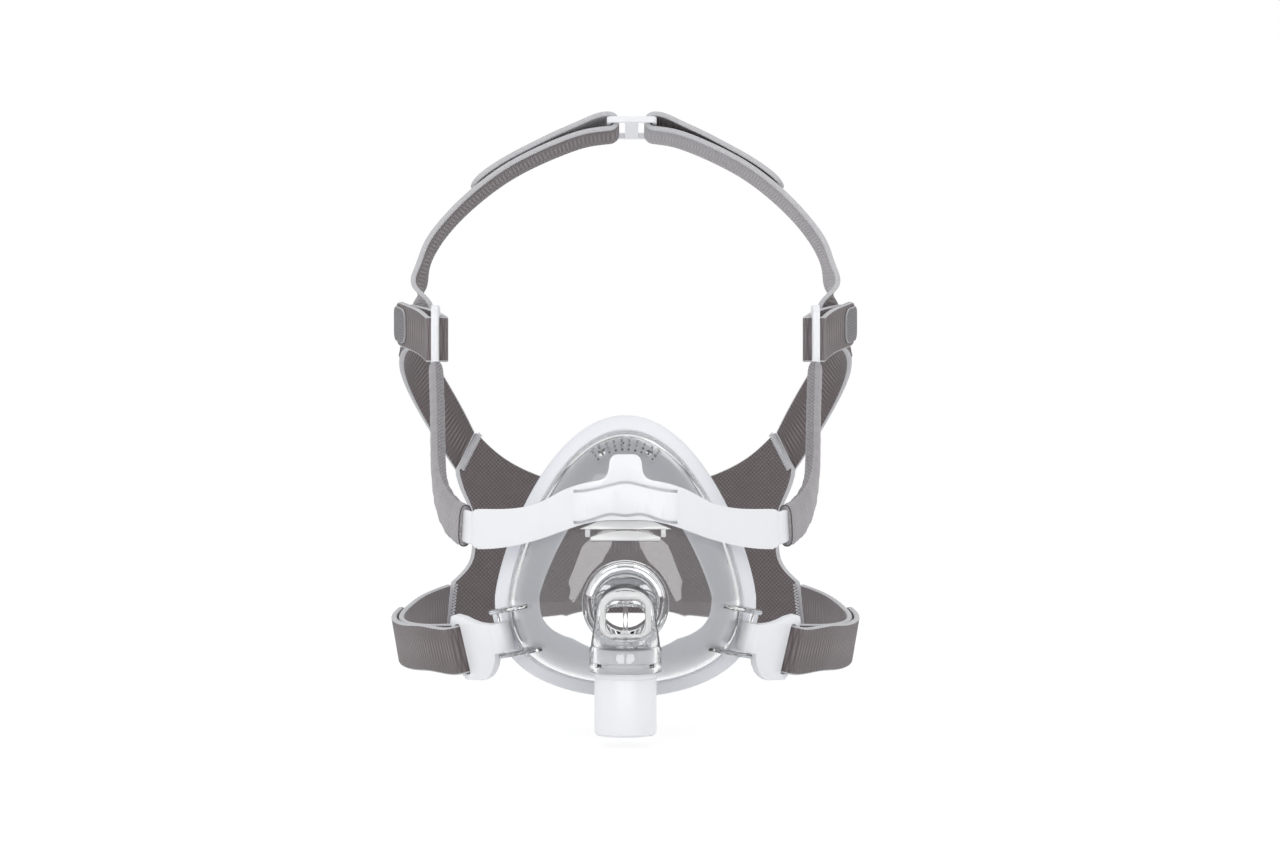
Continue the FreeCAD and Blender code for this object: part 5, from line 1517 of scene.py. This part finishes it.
def build_studio(scene):
    """White floor and room, soft lights and the camera at the photograph's angle."""
    studio = scene.mask_studio
    low = CAD_BOX[0][2] - 0.004
    material = bpy.data.materials.new("white_paper_sweep")
    material.use_nodes = True
    tree = material.node_tree
    shader = tree.nodes["Principled BSDF"]
    shader.inputs["Base Color"].default_value = linear("#f4f4f5")
    shader.inputs["Roughness"].default_value = 0.9
    glow = add_node(tree, "ShaderNodeEmission", None, {"Strength": 1.06})
    share = add_node(tree, "ShaderNodeMath", {"operation": "MULTIPLY"},
                     {0: seen_directly(tree, 1.0), 1: 0.86})
    mix = add_node(tree, "ShaderNodeMixShader", None,
                   {0: share.outputs[0], 1: shader.outputs[0], 2: glow.outputs[0]})
    tree.links.new(mix.outputs[0], tree.nodes["Material Output"].inputs["Surface"])
    stage_sheet("studio_floor", material, [(x, y, low) for x, y in
                                           ((-2.4, -1.6), (2.4, -1.6), (2.4, 1.6), (-2.4, 1.6))])

    world = bpy.data.worlds.new("white_room")
    scene.world = world
    world.use_nodes = True
    tree = world.node_tree
    way = add_node(tree, "ShaderNodeTexCoord")
    height = add_node(tree, "ShaderNodeSeparateXYZ", None, {"Vector": way.outputs["Generated"]})
    room = add_node(tree, "ShaderNodeMapRange", None,
                    {"Value": height.outputs["Z"], "From Min": -0.4, "From Max": 1.0,
                     "To Min": 0.98 * studio.level, "To Max": 1.02 * studio.level})
    path = add_node(tree, "ShaderNodeLightPath")
    around = add_node(tree, "ShaderNodeMix", {"data_type": "FLOAT"},
                      {"Factor": path.outputs["Is Glossy Ray"], "A": room.outputs["Result"],
                       "B": 0.5})
    level = add_node(tree, "ShaderNodeMix", {"data_type": "FLOAT"},
                     {"Factor": seen_directly(tree, 0.0), "A": around.outputs["Result"], "B": 1.0})
    tree.links.new(level.outputs["Result"], tree.nodes["Background"].inputs["Strength"])
    tree.nodes["Background"].inputs["Color"].default_value = (1, 1, 1, 1)

    # Two tall softboxes beside the camera, which the dome mirrors as a pair of pale wings.
    card = bpy.data.materials.new("softbox_cloth")
    card.use_nodes = True
    card.cycles.emission_sampling = "NONE"
    tree = card.node_tree
    path = add_node(tree, "ShaderNodeLightPath")
    power = add_node(tree, "ShaderNodeMapRange", None,
                     {"Value": path.outputs["Is Glossy Ray"], "To Min": studio.level,
                      "To Max": 6.5 * studio.level})
    cloth = add_node(tree, "ShaderNodeEmission", None, {"Strength": power.outputs["Result"]})
    tree.links.new(cloth.outputs[0], tree.nodes["Material Output"].inputs["Surface"])
    for word, side in SIDES.items():
        corners = [(side * x, -1.0, z) for x, z in SOFTBOX][::side]
        sheet = stage_sheet(f"softbox_{word}", card, corners)
        sheet.visible_camera = False
        sheet.visible_transmission = False
        sheet.visible_shadow = False

    for name, spot, aim, power in LAMPS:
        lamp = bpy.data.lights.new(name, "AREA")
        lamp.size = LAMP_SIZE
        lamp.energy = power * studio.level
        holder = bpy.data.objects.new(name, lamp)
        holder.location = spot
        holder.rotation_euler = (Vector(aim) - Vector(spot)).to_track_quat("-Z", "Y").to_euler()
        scene.collection.objects.link(holder)

    data = bpy.data.cameras.new("photo_camera")
    data.sensor_width = 36.0
    data.lens = FOCAL_PIXELS / FRAME_WIDTH * data.sensor_width
    data.shift_x = (FRAME_WIDTH / 2 - MIDLINE_PIXEL) / FRAME_WIDTH
    data.clip_start = 0.01
    camera = bpy.data.objects.new("photo_camera", data)
    camera.location = (0, -studio.distance, studio.height)
    camera.rotation_euler = (math.pi / 2, 0, 0)
    scene.collection.objects.link(camera)
    scene.camera = camera
    scene.view_settings.view_transform = "Standard"


class MASK_PT_panel(bpy.types.Panel):
    """Lists the mask's settings and pieces."""
    bl_idname = "MASK_PT_panel"
    bl_label = "Breathing Mask"
    bl_space_type = "VIEW_3D"
    bl_region_type = "UI"
    bl_category = "Mask"

    def draw(self, context):
        scene = context.scene
        for group in (scene.mask_seal, scene.mask_shell, scene.mask_webbing, scene.mask_colours,
                      scene.mask_studio):
            box = self.layout.box()
            box.label(text=type(group).__doc__)
            for key in type(group).__annotations__:
                box.prop(group, key)
        for operator in OPERATORS:
            self.layout.operator(operator.bl_idname)


GROUPS = {"mask_seal": SealSizes, "mask_shell": ShellSizes, "mask_webbing": WebbingSizes,
          "mask_colours": FinishColours, "mask_studio": StudioSizes}
OPERATORS = (MASK_OT_studio, MASK_OT_shell, MASK_OT_seal, MASK_OT_elbow, MASK_OT_cuff,
             MASK_OT_frame, MASK_OT_sleeves, MASK_OT_panel, MASK_OT_straps)


def register():
    """Adds the settings, the operators and the panel."""
    for name, group in GROUPS.items():
        bpy.utils.register_class(group)
        setattr(bpy.types.Scene, name, bpy.props.PointerProperty(type=group))
    for item in OPERATORS + (MASK_PT_panel,):
        bpy.utils.register_class(item)


def unregister():
    """Takes them away again."""
    for item in (MASK_PT_panel,) + tuple(reversed(OPERATORS)):
        bpy.utils.unregister_class(item)
    for name, group in GROUPS.items():
        delattr(bpy.types.Scene, name)
        bpy.utils.unregister_class(group)


def main():
    """Builds every piece."""
    register()
    bpy.ops.mask.studio()
    bpy.ops.mask.shell()
    bpy.ops.mask.seal()
    bpy.ops.mask.elbow()
    bpy.ops.mask.cuff()
    bpy.ops.mask.frame()
    bpy.ops.mask.sleeves()
    bpy.ops.mask.panel()
    bpy.ops.mask.straps()
    bpy.context.view_layer.update()


if __name__ == "__main__":
    main()
